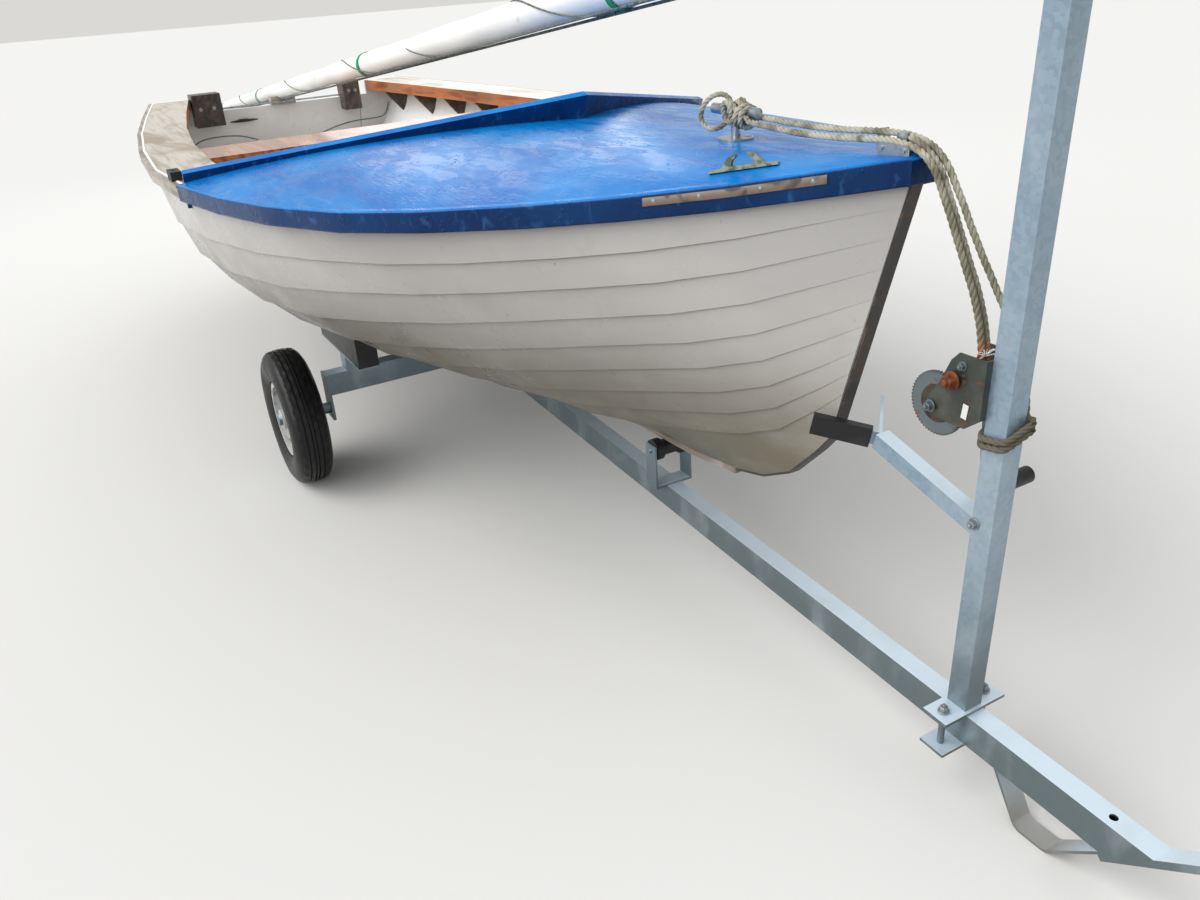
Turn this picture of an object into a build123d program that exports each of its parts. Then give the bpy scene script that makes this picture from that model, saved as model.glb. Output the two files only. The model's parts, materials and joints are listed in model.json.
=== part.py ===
from build123d import *
import os
from math import atan, atan2, cos, degrees, hypot, radians, sin, tan

# Sailing dinghy on its launching trolley, all sizes in millimetres.
# Working frame: X forward from the winch post, Y to port, Z up from the ground.
# Every piece is moved along X at the end so that the origin is under the middle of the whole.

os.makedirs("parts", exist_ok=True)

# Hull sections, bow to stern. Each is a plane raked from its sheer point down to its keel point.
# columns: sheer_x, half_breadth, sheer_z, keel_x, keel_z, deadrise, flare, keel_pull, sheer_pull
HULL_SECTIONS = [
    (-190, 12, 1074, -352, 552, 84, 0, 0.30, 0.45),
    (-400, 196, 1034, -470, 428, 76, 6, 0.46, 0.47),
    (-700, 420, 991, -650, 361, 58, 20, 0.58, 0.39),
    (-1100, 650, 953, -1000, 330, 24, 28, 0.72, 0.27),
    (-1650, 792, 924, -1600, 332, 6, 36, 1.25, 0.20),
    (-2400, 860, 906, -2400, 336, 3, 12, 1.32, 0.36),
    (-3400, 785, 908, -3400, 350, 5, 13, 0.84, 0.57),
    (-4500, 607, 920, -4470, 395, 12, 10, 0.56, 0.62),
]
land_fractions = [0.182, 0.268, 0.356, 0.453, 0.550, 0.655, 0.759, 0.857]
land_step = 7
land_step_at_stem = 0.4
land_fade = 380
stations = [-190, -265, -400, -550, -700, -900, -1100, -1375, -1650, -2025, -2400, -2900, -3400, -3950, -4500]
stem_half_width = 12
skin = 7
trim_rise = 60

# Deck, coaming and gunwales
deck_thickness = 9
deck_lap = 3
deck_crown_share = 0.135
gunwale_height = 38
gunwale_width = 18
quarter_strake_height = 34
coaming_apex_x = -1275
coaming_end_x = -1990
coaming_end_y = 836
coaming_thickness = 20
coaming_rake = 42
coaming_apex_top_z = 1105
coaming_end_top_z = 942
coaming_foot_depth = 70
side_deck_width = 168
side_deck_thickness = 12
carline_depth = 48
carline_thickness = 18

# Transom, thwart and inside
transom_thickness = 20
transom_top_z = 853
transom_gap_half = 440
quarter_block_length = 84
quarter_block_drop = 60
quarter_block_starboard = (306, 440, 942)
quarter_block_port = (296, 382, 934)
horse_radius = 4
horse_rise = 14
thwart_aft_x = -3150
thwart_width = 290
thwart_top_z = 856
thwart_thickness = 22
bench_top_z = 600
bench_front_x = -3760
bench_thickness = 18
board_top_z = 428
board_width = 92
board_pitch = 112
board_thickness = 12
boards_per_side = 3
board_fore_x = -2050
board_aft_x = -3700
bearer_places = [-2150, -2650, -3150, -3620]
bearer_width = 40
bearer_depth = 60
case_fore_x = -1920
case_aft_x = -3020
case_top_z = 700
case_wall = 14
case_slot = 26
case_post = (60, 54)
knee_places = [-3480, -3760, -4040, -4330]
knee_thickness = 18
knee_drop = 150

# Keel, stem band and small hull fittings
keel_bar_depth = 14
band_thickness = 5
band_foot_x = -640
cleat_x = -660
cleat_base_radius = 34
cleat_base_thickness = 5
cleat_stem_radius = 9
cleat_bar_z = 1107
cleat_bar_radius = 10
cleat_bar_length = 136
chock_x = -430
chock_y = 155
chock_length = 116
chock_width = 20
chock_base = 4
chock_horn_height = 26
chock_horn_thickness = 7
chock_turn = 42
stemhead_x = -232
stemhead_radius = 11
stemhead_height = 30
socket_x = -2130
socket_size = (74, 30, 26)
socket_bore = 13
socket_floor = 4
gudgeon_heights = [500, 770]
gudgeon_plate = (4, 64, 44)
gudgeon_bore = 10
gudgeon_radius = 9
gudgeon_reach = 16

# Spar and furled sail
mast_radius = 29
mast_wall = 2.5
mast_plug = 12
mast_heel_x = 130
mast_tip_x = -6280
mast_line_x = -1508
mast_line_z = 1270
mast_slope = 0.120
stern_rest_length = 52
stern_rest_width = 120
stern_rest_rise = 40
crutch_length = 60
crutch_width = 96
crutch_cap = 6
sail_fore_x = -250
sail_aft_x = -6080
sail_radius = 43
sail_aft_radius = 34

# Trolley
drawbar_width = 41
drawbar_height = 62
drawbar_wall = 3
drawbar_z_at_post = 159
drawbar_fall = 0.047
drawbar_nose_x = 375
drawbar_aft_x = -2330
post_size = 40
post_wall = 3
post_top_z = 1372
post_lean = 0.022
foot_plate = (52, 145, 6)
foot_bolt_radius = 6
foot_bolt_y = 50
arm_size = 30
arm_wall = 2.5
arm_post_z = 519
arm_end_x = -240
arm_rise = 0.29
chock_leg_length = 128
chock_leg_width = 25
chock_leg_thickness = 6
sleeve_length = 105
sleeve_outer = (36, 18)
winch_low_z = 689
winch_high_z = 808
winch_base_z = 711
winch_base_thickness = 3
winch_plate_thickness = 3
winch_inside_half = 30
drum_x = -101
drum_z = 708
drum_shaft_radius = 5
drum_rope_radius = 28
gear_radius = 51.6
gear_y = -24
gear_thickness = 6
flange_radius = 43
flange_thickness = 3
flange_y = 18
pinion_x = -61
pinion_z = 764
pinion_radius = 16.6
crank_shaft_radius = 6
crank_arm_y = 43
crank_arm_thickness = 6
crank_arm_width = 20
crank_length = 215
crank_lean = 4
grip_radius = 15
grip_length = 100
axle_x = -1955
axle_beam_height = 66
axle_beam_width = 50
axle_beam_half = 575
drop_plate_thickness = 8
drop_plate_width = 60
stub_radius = 12.5
stub_spacer = 59
stub_past_hub = 7
stub_nut_radius = 17
stub_nut_length = 9
pad_y = 490
pad_length = 400
pad_width = 60
pad_thickness = 30
upright_size = 50
keel_roller_x = [-942, -2250]
keel_roller_radius = 27
keel_roller_waist = 20
keel_roller_half = 45
keel_roller_pin = 6
bracket_thickness = 5
strap_width = 41
strap_thickness = 5
strap_bend = 26
strap_line = [(92, 92), (146, 0), (208, 0), (300, 84)]
nose_mitre_low_x = 297
nose_mitre_high_x = 373
nose_hole_x = 294
nose_hole_radius = 7
shank_width = 40
shank_thickness = 13
grip_bar_radius = 12.5
grip_bar_length = 300

# Wheels
wheel_radius = 207
tyre_width = 112
tyre_wall = 9
bead_radius = 102
bead_half = 38
rim_thickness = 3
rim_flange_radius = 113
disc_y = 10
disc_thickness = 4
hub_radius = 30
hub_half = 44
wheel_centre_y = axle_beam_half + drop_plate_thickness + stub_spacer + hub_half
stub_end_y = wheel_centre_y + hub_half + stub_past_hub
clearance = 0.3
running_fit = 0.08

# Painter
rope_radius = 5.5
rope_bend = 40

# The whole is moved by this much so that the origin is under its middle
handle_reach_x = 560
mast_reach_x = mast_tip_x - mast_radius * sin(atan(mast_slope))
origin_shift = -(handle_reach_x + mast_reach_x) / 2

parts = {}


def keep(name, shape):
    """Store one sub-part, moved into the library frame."""
    parts[name] = Pos(origin_shift, 0, 0) * shape


def in_plane(row, y, z):
    """Point of a raked section plane at breadth y and height z."""
    share = (z - row[4]) / (row[2] - row[4])
    return Vector(row[3] + (row[0] - row[3]) * share, y, z)


def section_curve(row):
    """Half section from keel to sheer on the port side, one cubic curve."""
    sheer_x, breadth, sheer_z, keel_x, keel_z, deadrise, flare, keel_pull, sheer_pull = row
    reach = 0.6 * hypot(sheer_z - keel_z, breadth - stem_half_width)
    low = (stem_half_width + cos(radians(deadrise)) * keel_pull * reach,
           keel_z + sin(radians(deadrise)) * keel_pull * reach)
    high = (breadth - sin(radians(flare)) * sheer_pull * reach,
            sheer_z - cos(radians(flare)) * sheer_pull * reach)
    corners = [(stem_half_width, keel_z), low, high, (breadth, sheer_z)]
    return Bezier(*[in_plane(row, y, z) for y, z in corners])


def offset_point(row, curve, share, out):
    """Point at a share of the girth, moved out square to the skin within the section plane."""
    rake = Vector(row[0] - row[3], 0, row[2] - row[4]).normalized()
    square = rake.cross(Vector(0, 1, 0))
    normal = (curve % share).cross(square).normalized()
    if normal.Y < 0 or (abs(normal.Y) < 1e-6 and normal.Z > 0):
        normal = normal * -1
    return curve @ share + normal * out


def mirrored_wire(points):
    """Closed wire from port points and their mirror image."""
    starboard = [Vector(p.X, -p.Y, p.Z) for p in reversed(points)]
    return Wire.make_polygon(points + starboard, close=True)


def lapped_points(row, step):
    """Lapped strakes: each upper strake stands proud of the one below at its lower edge."""
    curve = section_curve(row)
    points = [offset_point(row, curve, 0, 0)]
    for share in land_fractions:
        points.append(offset_point(row, curve, share, 0))
        points.append(offset_point(row, curve, share, step))
    return points + [offset_point(row, curve, 1, 0)]


def inside_points(row):
    """Inside face of the skin, keel to sheer."""
    curve = section_curve(row)
    points = [in_plane(row, stem_half_width - skin, row[4] + 2 * skin)]
    for share in [0.10] + land_fractions + [1]:
        points.append(offset_point(row, curve, share, -skin))
    return points


def tall_section(row, points):
    """Closed slice carried up past the sheer, for trimming what fits the hull."""
    rake = Vector(row[0] - row[3], 0, row[2] - row[4]).normalized()
    return mirrored_wire(points + [points[-1] + rake * trim_rise])


def shell_section(row, step):
    """Open-topped slice of the moulding: lapped outside, smooth inside."""
    return mirrored_wire(lapped_points(row, step) + list(reversed(inside_points(row))))


def slope_at(index, column):
    """Slope of a table column at one section, from its neighbours."""
    before = HULL_SECTIONS[max(index - 1, 0)]
    after = HULL_SECTIONS[min(index + 1, len(HULL_SECTIONS) - 1)]
    return (after[column] - before[column]) / (after[0] - before[0])


def row_at(x):
    """Section of the hull at a place along the sheer, faired through the table."""
    index = 0
    while index < len(HULL_SECTIONS) - 2 and x < HULL_SECTIONS[index + 1][0]:
        index += 1
    fore, aft = HULL_SECTIONS[index], HULL_SECTIONS[index + 1]
    span = aft[0] - fore[0]
    s = (x - fore[0]) / span
    values = [x]
    for column in range(1, 9):
        start = slope_at(index, column) * span
        finish = slope_at(index + 1, column) * span
        rise = aft[column] - fore[column]
        curve = s * start + s ** 2 * (3 * rise - 2 * start - finish) + s ** 3 * (start + finish - 2 * rise)
        values.append(fore[column] + curve)
    return tuple(values)


def land_at(x):
    """Height of the laps at a place along the boat: they fade out towards the stem."""
    return max(land_step_at_stem, min(land_step, land_step * (HULL_SECTIONS[0][0] - x) / land_fade))


def box_between(low, high):
    """Axis-aligned box from its lowest to its highest corner."""
    size = [h - l for l, h in zip(low, high)]
    centre = [(h + l) / 2 for l, h in zip(low, high)]
    return Pos(*centre) * Box(*size)


def plate(points, direction):
    """Flat plate: a polygon pushed along a direction."""
    face = Face(Wire.make_polygon([Vector(*p) for p in points], close=True))
    return Solid.extrude(face, Vector(*direction))


def mirror_y(shape):
    return mirror(shape, about=Plane.XZ)


# Hull moulding
hull_rows = [row_at(x) for x in stations]
hull_moulding = Solid.make_loft([shell_section(r, land_at(r[0])) for r in hull_rows], True)
hull_body = Solid.make_loft([tall_section(r, lapped_points(r, land_at(r[0]))) for r in hull_rows], True)
hull_inside = Solid.make_loft([tall_section(r, inside_points(r)) for r in hull_rows], True)


def deck_section(row):
    """Slice of the foredeck: crowned top and underside, plumb edges."""
    x, half, z = row[0], row[1] + gunwale_width, row[2] + deck_lap
    crown = deck_crown_share * half
    top = ThreePointArc((x, -half, z), (x, 0, z + crown), (x, half, z))
    low = ThreePointArc((x, half, z - deck_thickness), (x, 0, z + crown - deck_thickness),
                        (x, -half, z - deck_thickness))
    return Wire([top, Line(top @ 1, low @ 0), low, Line(low @ 1, top @ 0)])


deck_rows = [row_at(x) for x in stations if x >= -2025]
deck_body = Solid.make_loft([deck_section(r) for r in deck_rows], True)

# Coaming arm on the port side: foot line on the deck and top line raked forward of it
apex_foot = Vector(coaming_apex_x, 0, coaming_apex_top_z - 70)
end_foot = Vector(coaming_end_x, coaming_end_y, coaming_end_top_z - 36)
apex_top = Vector(coaming_apex_x + coaming_rake, 0, coaming_apex_top_z)
end_top = Vector(coaming_end_x + 14, coaming_end_y, coaming_end_top_z)
arm_along = (end_foot - apex_foot).normalized()
arm_normal = arm_along.cross(apex_top - apex_foot).normalized()
if arm_normal.X > 0:
    arm_normal = arm_normal * -1
arm_up = (apex_top - apex_foot).normalized()


def arm_outline(top_reach, foot_reach, past_apex, past_end):
    """Quadrilateral in the plane of the arm's front face."""
    start = apex_foot - arm_along * past_apex
    finish = end_foot + arm_along * past_end
    top_line_end = end_top if not top_reach else finish + arm_up * top_reach
    top_line_start = apex_top if not top_reach else start + arm_up * top_reach
    return [start - arm_up * foot_reach, finish - arm_up * foot_reach, top_line_end, top_line_start]


port_half = box_between((-3000, 0, 0), (0, 1500, 2000))
cockpit_port = plate([tuple(v) for v in arm_outline(200, 300, 200, 120)], tuple(arm_normal * 1500))
cockpit_cut = cockpit_port & port_half
arm_blank = plate([tuple(v) for v in arm_outline(200, coaming_foot_depth, 200, 10)],
                  tuple(arm_normal * coaming_thickness))
above_arm = plate([tuple(apex_top + arm_normal * -300 - arm_along * 300),
                   tuple(end_top + arm_normal * -300 + arm_along * 300),
                   tuple(end_top + arm_normal * 300 + arm_along * 300),
                   tuple(apex_top + arm_normal * 300 - arm_along * 300)], (0, 0, 400))
deck_outline_half = box_between((-3000, 0, 0), (0, coaming_end_y, 2000))
coaming_port = (arm_blank & deck_outline_half) - above_arm
coaming_port = coaming_port - (deck_body - cockpit_cut) - hull_moulding
foredeck = deck_body - cockpit_cut - mirror_y(cockpit_cut)
hull_shell = hull_moulding - foredeck


def keel_z(x):
    """Underside of the moulding on the centre line."""
    for fore, aft in zip(keel_line, keel_line[1:]):
        if aft[0] <= x <= fore[0]:
            return fore[1] + (aft[1] - fore[1]) * (x - fore[0]) / (aft[0] - fore[0])
    return keel_line[-1][1]


# Keel bar and stem band along the outer faces of the moulding
keel_line = [(r[3], r[4]) for r in hull_rows]
band_line = [(HULL_SECTIONS[0][0], HULL_SECTIONS[0][2])] + [p for p in keel_line if p[0] > band_foot_x]
keel_points = [p for p in keel_line if p[0] < band_foot_x]


def offset_line(points, distance):
    """Points of a bent line moved sideways by a distance, to the left of its run."""
    moved = []
    for index, point in enumerate(points):
        before = points[max(index - 1, 0)]
        after = points[min(index + 1, len(points) - 1)]
        normals = []
        for start, finish in ((before, point), (point, after)):
            run = hypot(finish[0] - start[0], finish[1] - start[1])
            if run > 0:
                normals.append(((start[1] - finish[1]) / run, (finish[0] - start[0]) / run))
        first, last = normals[0], normals[-1]
        share = distance / (1 + first[0] * last[0] + first[1] * last[1])
        moved.append((point[0] + (first[0] + last[0]) * share, point[1] + (first[1] + last[1]) * share))
    return moved


def side_plate(points, half_width):
    """Outline in the XZ plane pushed to both sides of the centre line."""
    return plate([(x, -half_width, z) for x, z in points], (0, 2 * half_width, 0))


band_full = band_line + [keel_points[0]]
stem_band = side_plate(band_full + list(reversed(offset_line(band_full, band_thickness))), stem_half_width)
stem_band = stem_band - foredeck
keel_low = [(x, z - keel_bar_depth) for x, z in keel_points]
keel_bar = side_plate(keel_points + list(reversed(keel_low)), stem_half_width)
keep("stem_band", stem_band)
keep("keel_bar", keel_bar - stem_band)


def strake_section(row, width, height, drop):
    """Rubbing strake slice on the port side, from well inside the skin to its outer face."""
    x, half, z = row[0], row[1], row[2] - drop
    inside = max(half - 40, -2)
    points = [(x, inside, z), (x, half + width, z), (x, half + width, z - height), (x, inside, z - height)]
    return Wire.make_polygon([Vector(*p) for p in points], close=True)


end_row = row_at(coaming_end_x)
fore_rows = [r for r in hull_rows if r[0] > coaming_end_x] + [end_row]
aft_rows = [end_row] + [r for r in hull_rows if r[0] < coaming_end_x]
gunwale_fore = Solid.make_loft([strake_section(r, gunwale_width, gunwale_height - deck_thickness,
    deck_thickness) for r in fore_rows], True)
gunwale_aft = Solid.make_loft(
    [strake_section(r, gunwale_width - 4, quarter_strake_height, 0) for r in aft_rows], True)
gunwale_fore = gunwale_fore - hull_body - stem_band - box_between((-3000, -500, 0), (0, 0, 2000))
gunwale_aft = gunwale_aft - hull_body - foredeck - coaming_port

# Side decks with their varnished inner faces


def side_deck_section(row):
    x, half, z = row[0], row[1] + 5, row[2]
    inner = row[1] - side_deck_width
    points = [(x, half, z), (x, inner, z), (x, inner, z - carline_depth),
              (x, inner + carline_thickness, z - carline_depth),
              (x, inner + carline_thickness, z - side_deck_thickness), (x, half, z - side_deck_thickness)]
    return Wire.make_polygon([Vector(*p) for p in points], close=True)


side_deck = Solid.make_loft([side_deck_section(r) for r in hull_rows if r[0] <= -1375], True)
side_deck = side_deck & hull_inside
fore_limit = plate([tuple(v + arm_normal * coaming_thickness) for v in arm_outline(400, 400, 600, 600)],
                   tuple(arm_normal * -1500))
side_deck = side_deck - fore_limit

# Transom, square to the run of the last section
stern = HULL_SECTIONS[-1]


def stern_x(z):
    """Outer face of the raked transom at a height."""
    return stern[3] + (stern[0] - stern[3]) * (z - stern[4]) / (stern[2] - stern[4])


low_z, high_z = 300, 1100
stern_limit = plate([(stern_x(high_z) - 60, -1000, high_z),
    (stern_x(high_z) + transom_thickness, -1000, high_z), (stern_x(low_z) + transom_thickness, -1000, low_z),
    (stern_x(low_z) - 60, -1000, low_z)], (0, 2000, 0))
side_deck = side_deck - stern_limit
transom = hull_inside & stern_limit
transom = transom - box_between((-4800, -transom_gap_half, transom_top_z), (-4300, transom_gap_half, 1200))
transom = transom - box_between((-4800, -900, stern[2]), (-4300, 900, 1200))

keep("hull_shell", hull_shell)
keep("foredeck", foredeck)
keep("transom", transom)
keep("coaming_port", coaming_port)
keep("coaming_starboard", mirror_y(coaming_port))
for side, turn in (("port", lambda s: s), ("starboard", mirror_y)):
    keep("gunwale_" + side, turn(gunwale_fore))
    keep("quarter_strake_" + side, turn(gunwale_aft))
    keep("side_deck_" + side, turn(side_deck))

# Thwart, stern bench, bottom boards and centreboard case
thwart = box_between((thwart_aft_x, -1000, thwart_top_z - thwart_thickness),
                     (thwart_aft_x + thwart_width, 1000, thwart_top_z)) & hull_inside
bench_top = box_between((-4700, -1000, bench_top_z - bench_thickness), (bench_front_x, 1000, bench_top_z))
bench_front = box_between((bench_front_x - bench_thickness, -1000, 300), (bench_front_x, 1000, bench_top_z))
stern_bench = ((bench_top + bench_front) & hull_inside) - stern_limit
keep("thwart", thwart)
keep("stern_bench", stern_bench)

case_outside = box_between((case_aft_x, -case_slot / 2 - case_wall, 300),
    (case_fore_x, case_slot / 2 + case_wall, case_top_z))
case_inside = box_between((case_aft_x + case_wall, -case_slot / 2, 200),
    (case_fore_x - case_wall, case_slot / 2, case_top_z + 1))
post_fore_x = case_aft_x + case_post[0]
case_support = box_between((case_aft_x, -case_post[1] / 2, case_top_z),
                           (post_fore_x, case_post[1] / 2, thwart_top_z - thwart_thickness))
case = (case_outside & hull_inside) - case_inside + case_support
keep("centreboard_case", case)

boards = []
for index in range(boards_per_side):
    centre = case_slot / 2 + case_wall + 20 + board_width / 2 + index * board_pitch
    for side in (1, -1):
        low = (board_aft_x, side * centre - board_width / 2, board_top_z - board_thickness)
        high = (board_fore_x, side * centre + board_width / 2, board_top_z)
        boards.append(box_between(low, high) & hull_inside)
keep("bottom_boards", Compound(boards))
bearers = []
for place in bearer_places:
    low = (place - bearer_width / 2, -1000, board_top_z - board_thickness - bearer_depth)
    high = (place + bearer_width / 2, 1000, board_top_z - board_thickness)
    bearer = (box_between(low, high) & hull_inside) - case_outside
    bearers.extend(bearer.solids())
keep("board_bearers", Compound(bearers))

# Knees under the side decks
knees = []
for place in knee_places:
    row = row_at(place)
    inner = row[1] - side_deck_width + carline_thickness
    top = row[2] - carline_depth
    top = top - 0.5
    points = [(place, inner, top), (place, 1000, top), (place, 1000, top - knee_drop - 120),
              (place, row[1] - 20, top - knee_drop)]
    knee = plate(points, (knee_thickness, 0, 0)) & hull_inside
    knees.extend(knee.solids())
keep("side_knees_port", Compound(knees))
keep("side_knees_starboard", mirror_y(Compound(knees)))

# Quarter blocks on the transom with the rope horse between them
block_starboard_low, block_starboard_high, block_starboard_top = quarter_block_starboard
block_port_low, block_port_high, block_port_top = quarter_block_port
block_fore_x = stern_x(transom_top_z) + transom_thickness + quarter_block_length
stern_face = plate([(stern_x(high_z), -1000, high_z), (stern_x(low_z), -1000, low_z),
    (stern_x(low_z) - 300, -1000, low_z), (stern_x(high_z) - 300, -1000, high_z)], (0, 2000, 0))
block_low_z = transom_top_z - quarter_block_drop
block_starboard = box_between((-4600, -block_starboard_high, block_low_z),
                              (block_fore_x, -block_starboard_low, block_starboard_top))
block_port = box_between((-4600, block_port_low, block_low_z),
    (block_fore_x, block_port_high, block_port_top))
blocks = Compound([block_starboard - stern_face - transom, block_port - stern_face - transom])
keep("quarter_blocks", blocks)


def rod(start, finish, radius):
    """Round bar between two points."""
    run = Vector(*finish) - Vector(*start)
    return Solid.make_cylinder(radius, run.length, Plane(origin=start, z_dir=run))


horse_x = block_fore_x - quarter_block_length / 2
horse_z = transom_top_z + horse_rise
keep("rope_horse", rod((horse_x, -block_starboard_low, horse_z), (horse_x, block_port_low, horse_z),
    horse_radius))

# Deck fittings


def deck_z(x, y):
    """Top of the crowned foredeck."""
    row = row_at(x)
    half = row[1] + gunwale_width
    crown = deck_crown_share * half
    radius = (half ** 2 + crown ** 2) / (2 * crown)
    return row[2] + deck_lap + crown - radius + (radius ** 2 - y ** 2) ** 0.5


cleat_top_z = deck_z(cleat_x, 0) + cleat_base_thickness
cleat_seat_z = deck_z(cleat_x, 0) - deck_thickness / 2
cleat = rod((cleat_x, 0, cleat_seat_z), (cleat_x, 0, cleat_top_z), cleat_base_radius) - deck_body
cleat = cleat + rod((cleat_x, 0, cleat_top_z - 1), (cleat_x, 0, cleat_bar_z), cleat_stem_radius)
cleat = cleat + rod((cleat_x - cleat_bar_length / 2, 0, cleat_bar_z),
    (cleat_x + cleat_bar_length / 2, 0, cleat_bar_z), cleat_bar_radius)
keep("deck_cleat", cleat)


def chock_outline():
    """Open fairlead seen from the side: flat base with two horns that curl inwards."""
    half, base, horn, high = chock_length / 2, chock_base, chock_horn_thickness, chock_horn_height
    points = [(-half, 0), (half, 0), (half, base), (half * 0.62, base + 2), (half * 0.40, high - 5),
              (half * 0.16, high), (half * 0.16, high - 4), (half * 0.30, high - horn - 4),
              (half * 0.34, base + 3), (-half * 0.34, base + 3), (-half * 0.30, high - horn - 4),
              (-half * 0.16, high - 4), (-half * 0.16, high), (-half * 0.40, high - 5),
              (-half * 0.62, base + 2), (-half, base)]
    return [(x, -chock_width / 2, z) for x, z in points]


chock = plate(chock_outline(), (0, chock_width, 0))
chock_seat = deck_z(chock_x, chock_y)
slope = degrees(atan2(deck_z(chock_x + 10, chock_y - 10) - deck_z(chock_x - 10, chock_y + 10), 28.3))
cross = degrees(atan2(deck_z(chock_x - 10, chock_y - 10) - deck_z(chock_x + 10, chock_y + 10), 28.3))
chock_port = Pos(chock_x, chock_y, chock_seat + clearance) * Rot(0, 0, -chock_turn) * Rot(cross, -slope,
    0) * chock
chock_port = chock_port - deck_body
keep("bow_chock_port", chock_port)
keep("bow_chock_starboard", mirror_y(chock_port))
stemhead = rod((stemhead_x, 0, deck_z(stemhead_x, 0) - 6),
    (stemhead_x, 0, deck_z(stemhead_x, 0) + stemhead_height), stemhead_radius) - deck_body
keep("stemhead_fitting", stemhead)

# Rowlock sockets on the rail, upright bores
socket_row = row_at(socket_x)
socket_y = socket_row[1] - 12
socket_z = socket_row[2]
socket = Pos(socket_x, socket_y, socket_z + socket_size[2] / 2) * Box(*socket_size)
socket = socket - hull_moulding - gunwale_aft - side_deck
socket = socket - rod((socket_x, socket_y, socket_z + socket_floor), (socket_x, socket_y, socket_z + 60),
    socket_bore / 2)
keep("rowlock_sockets", Compound([socket, mirror_y(socket)]))

# Rudder gudgeons on the transom
gudgeons = []
for height in gudgeon_heights:
    face_x = stern_x(height)
    ring_x = face_x - gudgeon_reach
    back = box_between((face_x - gudgeon_plate[0] - 3, -gudgeon_plate[1] / 2, height - gudgeon_plate[2] / 2),
                       (face_x + 6, gudgeon_plate[1] / 2, height + gudgeon_plate[2] / 2))
    web = box_between((ring_x, -gudgeon_radius, height - 12), (face_x, gudgeon_radius, height + 12))
    ring = rod((ring_x, 0, height - 12), (ring_x, 0, height + 12), gudgeon_radius)
    bore = rod((ring_x, 0, height - 40), (ring_x, 0, height + 40), gudgeon_bore / 2)
    gudgeons.append((back + web + ring - bore) - hull_body)
keep("rudder_gudgeons", Compound(gudgeons))


# Mast and furled sail
def mast_z(x):
    return mast_line_z + mast_slope * (x - mast_line_x)


def along_mast(start_x, finish_x, start_radius, finish_radius):
    """Round solid on the mast line, straight or tapered."""
    start = Vector(start_x, 0, mast_z(start_x))
    run = Vector(finish_x, 0, mast_z(finish_x)) - start
    place = Plane(origin=start, z_dir=run)
    if start_radius == finish_radius:
        return Solid.make_cylinder(start_radius, run.length, place)
    return Solid.make_cone(start_radius, finish_radius, run.length, place)


mast_rod = along_mast(mast_heel_x, mast_tip_x, mast_radius, mast_radius)
bore_radius = mast_radius - mast_wall
mast_hollow = along_mast(mast_heel_x - mast_plug, mast_tip_x + mast_plug, bore_radius, bore_radius)
sail_roll = along_mast(sail_fore_x, sail_aft_x, sail_radius, sail_aft_radius)
keep("mast", mast_rod - mast_hollow)
keep("furled_sail", sail_roll - mast_rod)
rest_low_x = stern_x(transom_top_z)
stern_rest = box_between((rest_low_x, -stern_rest_width / 2, transom_top_z),
    (rest_low_x + stern_rest_length, stern_rest_width / 2, transom_top_z + stern_rest_rise))
stern_rest = stern_rest - sail_roll
keep("stern_rest", stern_rest)


# Trolley: drawbar with its mitred nose
def drawbar_top(x):
    return drawbar_z_at_post - drawbar_fall * x


def bar_outline(inset):
    """Side outline of the drawbar, drawn in by its wall; the ends run past when inset."""
    past = 200 if inset else 0
    nose_low = drawbar_top(nose_mitre_low_x) - drawbar_height
    nose_high = drawbar_top(nose_mitre_high_x)
    lean = (nose_mitre_high_x - nose_mitre_low_x) / (nose_high - nose_low)
    aft = drawbar_aft_x - past
    points = [(aft, drawbar_top(aft) - inset), (aft, drawbar_top(aft) - drawbar_height + inset),
              (nose_mitre_low_x + past * lean, nose_low + inset - drawbar_fall * past * lean),
              (nose_mitre_high_x + past * lean, nose_high - inset - drawbar_fall * past * lean)]
    return points


drawbar_filled = side_plate(bar_outline(0), drawbar_width / 2)
drawbar = drawbar_filled - side_plate(bar_outline(drawbar_wall), drawbar_width / 2 - drawbar_wall)
nose_hole = rod((nose_hole_x, 0, 100), (nose_hole_x, 0, 200), nose_hole_radius)
drawbar = drawbar - nose_hole
keep("drawbar", drawbar)

# Nose handle: flat shank under the mitre and a cross bar
low = (nose_mitre_low_x, drawbar_top(nose_mitre_low_x) - drawbar_height)
high = (nose_mitre_high_x, drawbar_top(nose_mitre_high_x))
rise = atan2(high[1] - low[1], high[0] - low[0])
grip_x = handle_reach_x - grip_bar_radius
shank_end = (grip_x, low[1] + tan(rise) * (grip_x - low[0]))
shank_start = (low[0] - 6, low[1] - 6 * tan(rise))
normal = (sin(rise) * shank_thickness, -cos(rise) * shank_thickness)
shank = side_plate([shank_start, shank_end, (shank_end[0] + normal[0], shank_end[1] + normal[1]),
                    (shank_start[0] + normal[0], shank_start[1] + normal[1])], shank_width / 2)
grip_z = shank_end[1] + normal[1] / 2
handle = shank - drawbar_filled + rod((grip_x, -grip_bar_length / 2, grip_z),
    (grip_x, grip_bar_length / 2, grip_z), grip_bar_radius)
keep("nose_handle", handle)


def bent_strip(points, thickness, radius):
    """Flat bar bent round fillets, drawn by its lower edge in the XZ plane."""
    outer = FilletPolyline(*[(x, 0, z) for x, z in points], radius=radius)
    inner = FilletPolyline(*[(x, 0, z) for x, z in offset_line(points, thickness)], radius=radius - thickness)
    return Face(Wire(outer.edges() + [Line(outer @ 1, inner @ 1)] + inner.edges()
        + [Line(inner @ 0, outer @ 0)]))


strap_face = bent_strip(strap_line, strap_thickness, strap_bend)
foot_strap = Pos(0, -strap_width / 2, 0) * Solid.extrude(strap_face, Vector(0, strap_width, 0))
foot_strap = foot_strap - drawbar_filled - handle
keep("foot_strap", foot_strap)


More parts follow.
